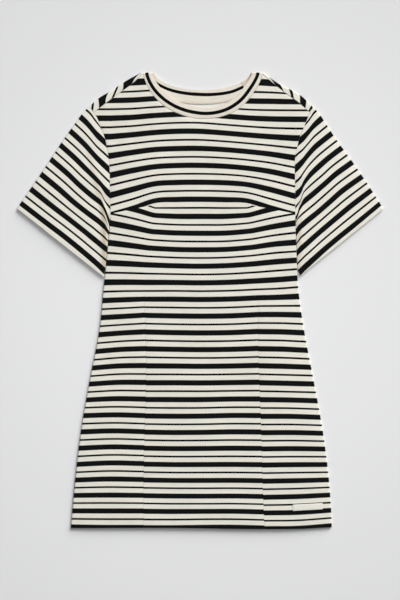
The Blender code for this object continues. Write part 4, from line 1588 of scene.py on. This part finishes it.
def surfaceLine(page, height):
    return np.column_stack([page, np.broadcast_to(height, page.shape[:1])])


def tapeStitchLines():
    angles = neckAngles(math.acos(tape["reach"]) + tape["stitchInset"], 160)
    lines = []
    for share in tape["stitchShares"]:
        page = neckPoint("back", angles, tape["drop"] + tape["width"] * share)
        lines.append(surfaceLine(page, tapeHeight(share) + thread["sink"]))
    return lines


def labelStitchLines():
    across, reach, lift = label["stitches"]
    j = np.linspace(-reach, reach, 12)
    pages = [labelPoint(np.full_like(j, i), j) for i in (-across, across)]
    return [surfaceLine(page, labelHeight(page) + lift) for page in pages]


tapeStitches = makeStitches("tapeStitches", tapeStitchLines(), thread)
labelSettings = {**thread, "length": 0.0017, "pitch": 0.0023, "radius": 0.00018}
labelStitches = makeStitches("labelStitches", labelStitchLines(), labelSettings)


# floor, light and camera

stage = {
    "floorSize": 40.0,
    "floorDrop": 0.00015,
    "floorFinish": {"roughness": 0.95, "specular": 0.1, "sheen": 0.0},
    "floorColour": (0.755, 0.756, 0.762),
    "floorFalloff": 0.92,  # painted fall-off of the light: how much darker the board gets away from its middle, and where
    "floorMiddle": (0.05, 0.90),
    "keyTurn": (64.3, 0, 147),  # degrees: the key light stands low beyond the neck, to the right
    "keyStrength": 4.80,
    "keySoftness": 40,
    "overheadPlace": (0.18, 0.13, 1.6),
    "overheadSize": 1.2,
    "overheadPower": 8.6,
    "skyStrength": 0.13,
    "horizonStrength": 0.75,
    "horizonHeight": 0.15,
    "skyColour": (0.985, 0.99, 1.0),
    "frameHeight": 1.140,
    "lens": 100,
    "sensorWidth": 36.0,
    "centre": (0.0, 0.0005),
    "surface": 0.005,
}


def makeFloor():
    half, low = stage["floorSize"] / 2, -stage["floorDrop"]
    mesh = bpy.data.meshes.new("floor")
    corners = [(-half, -half, low), (half, -half, low), (half, half, low), (-half, half, low)]
    mesh.from_pydata(corners, [], [(0, 1, 2, 3)])
    material, tree, shader = newMaterial("paleBoard", stage["floorFinish"])
    place = addNode(tree, "ShaderNodeTexCoord", {}).outputs["Object"]
    reach = addNode(tree, "ShaderNodeVectorMath", {0: place}, operation="LENGTH").outputs["Value"]
    # the board is painted darker away from its middle, where the light falls off
    colour = stage["floorColour"]
    dark = tuple(part * stage["floorFalloff"] for part in colour)
    shaded = blendColours(tree, ramp(tree, reach, *stage["floorMiddle"]), colour, dark)
    tree.links.new(shaded, shader.inputs["Base Color"])
    mesh.materials.append(material)
    floor = newObject("floor", mesh)


def addLamp(name, kind, energy):
    lamp = bpy.data.lights.new(name, kind)
    lamp.energy = energy
    return newObject(name, lamp), lamp


def makeLights():
    key, lamp = addLamp("key", "SUN", stage["keyStrength"])
    lamp.angle = math.radians(stage["keySoftness"])
    key.rotation_euler = [math.radians(a) for a in stage["keyTurn"]]
    overhead, lamp = addLamp("overhead", "AREA", stage["overheadPower"])
    lamp.size = stage["overheadSize"]
    overhead.location = stage["overheadPlace"]
    overhead.visible_camera = False
    world = bpy.data.worlds.new("studio")
    world.use_nodes = True
    tree = world.node_tree
    sky = tree.nodes["Background"]
    sky.inputs["Color"].default_value = (*stage["skyColour"], 1)
    place = addNode(tree, "ShaderNodeTexCoord", {}).outputs["Generated"]
    height = addNode(tree, "ShaderNodeSeparateXYZ", {0: place}).outputs["Z"]
    limits = 0.0, stage["horizonHeight"], stage["horizonStrength"], stage["skyStrength"]
    tree.links.new(ramp(tree, height, *limits), sky.inputs["Strength"])
    bpy.context.scene.world = world


def makeCamera():
    lens = bpy.data.cameras.new("camera")
    lens.lens = stage["lens"]
    lens.sensor_width = stage["sensorWidth"]
    camera = newObject("camera", lens)
    distance = stage["frameHeight"] * stage["lens"] / lens.sensor_width
    camera.location = (*stage["centre"], distance + stage["surface"])
    bpy.context.scene.camera = camera


makeFloor()
makeLights()
makeCamera()
view = bpy.context.scene.view_settings
view.view_transform = "Standard"
print("stage set")

bpy.context.view_layer.update()
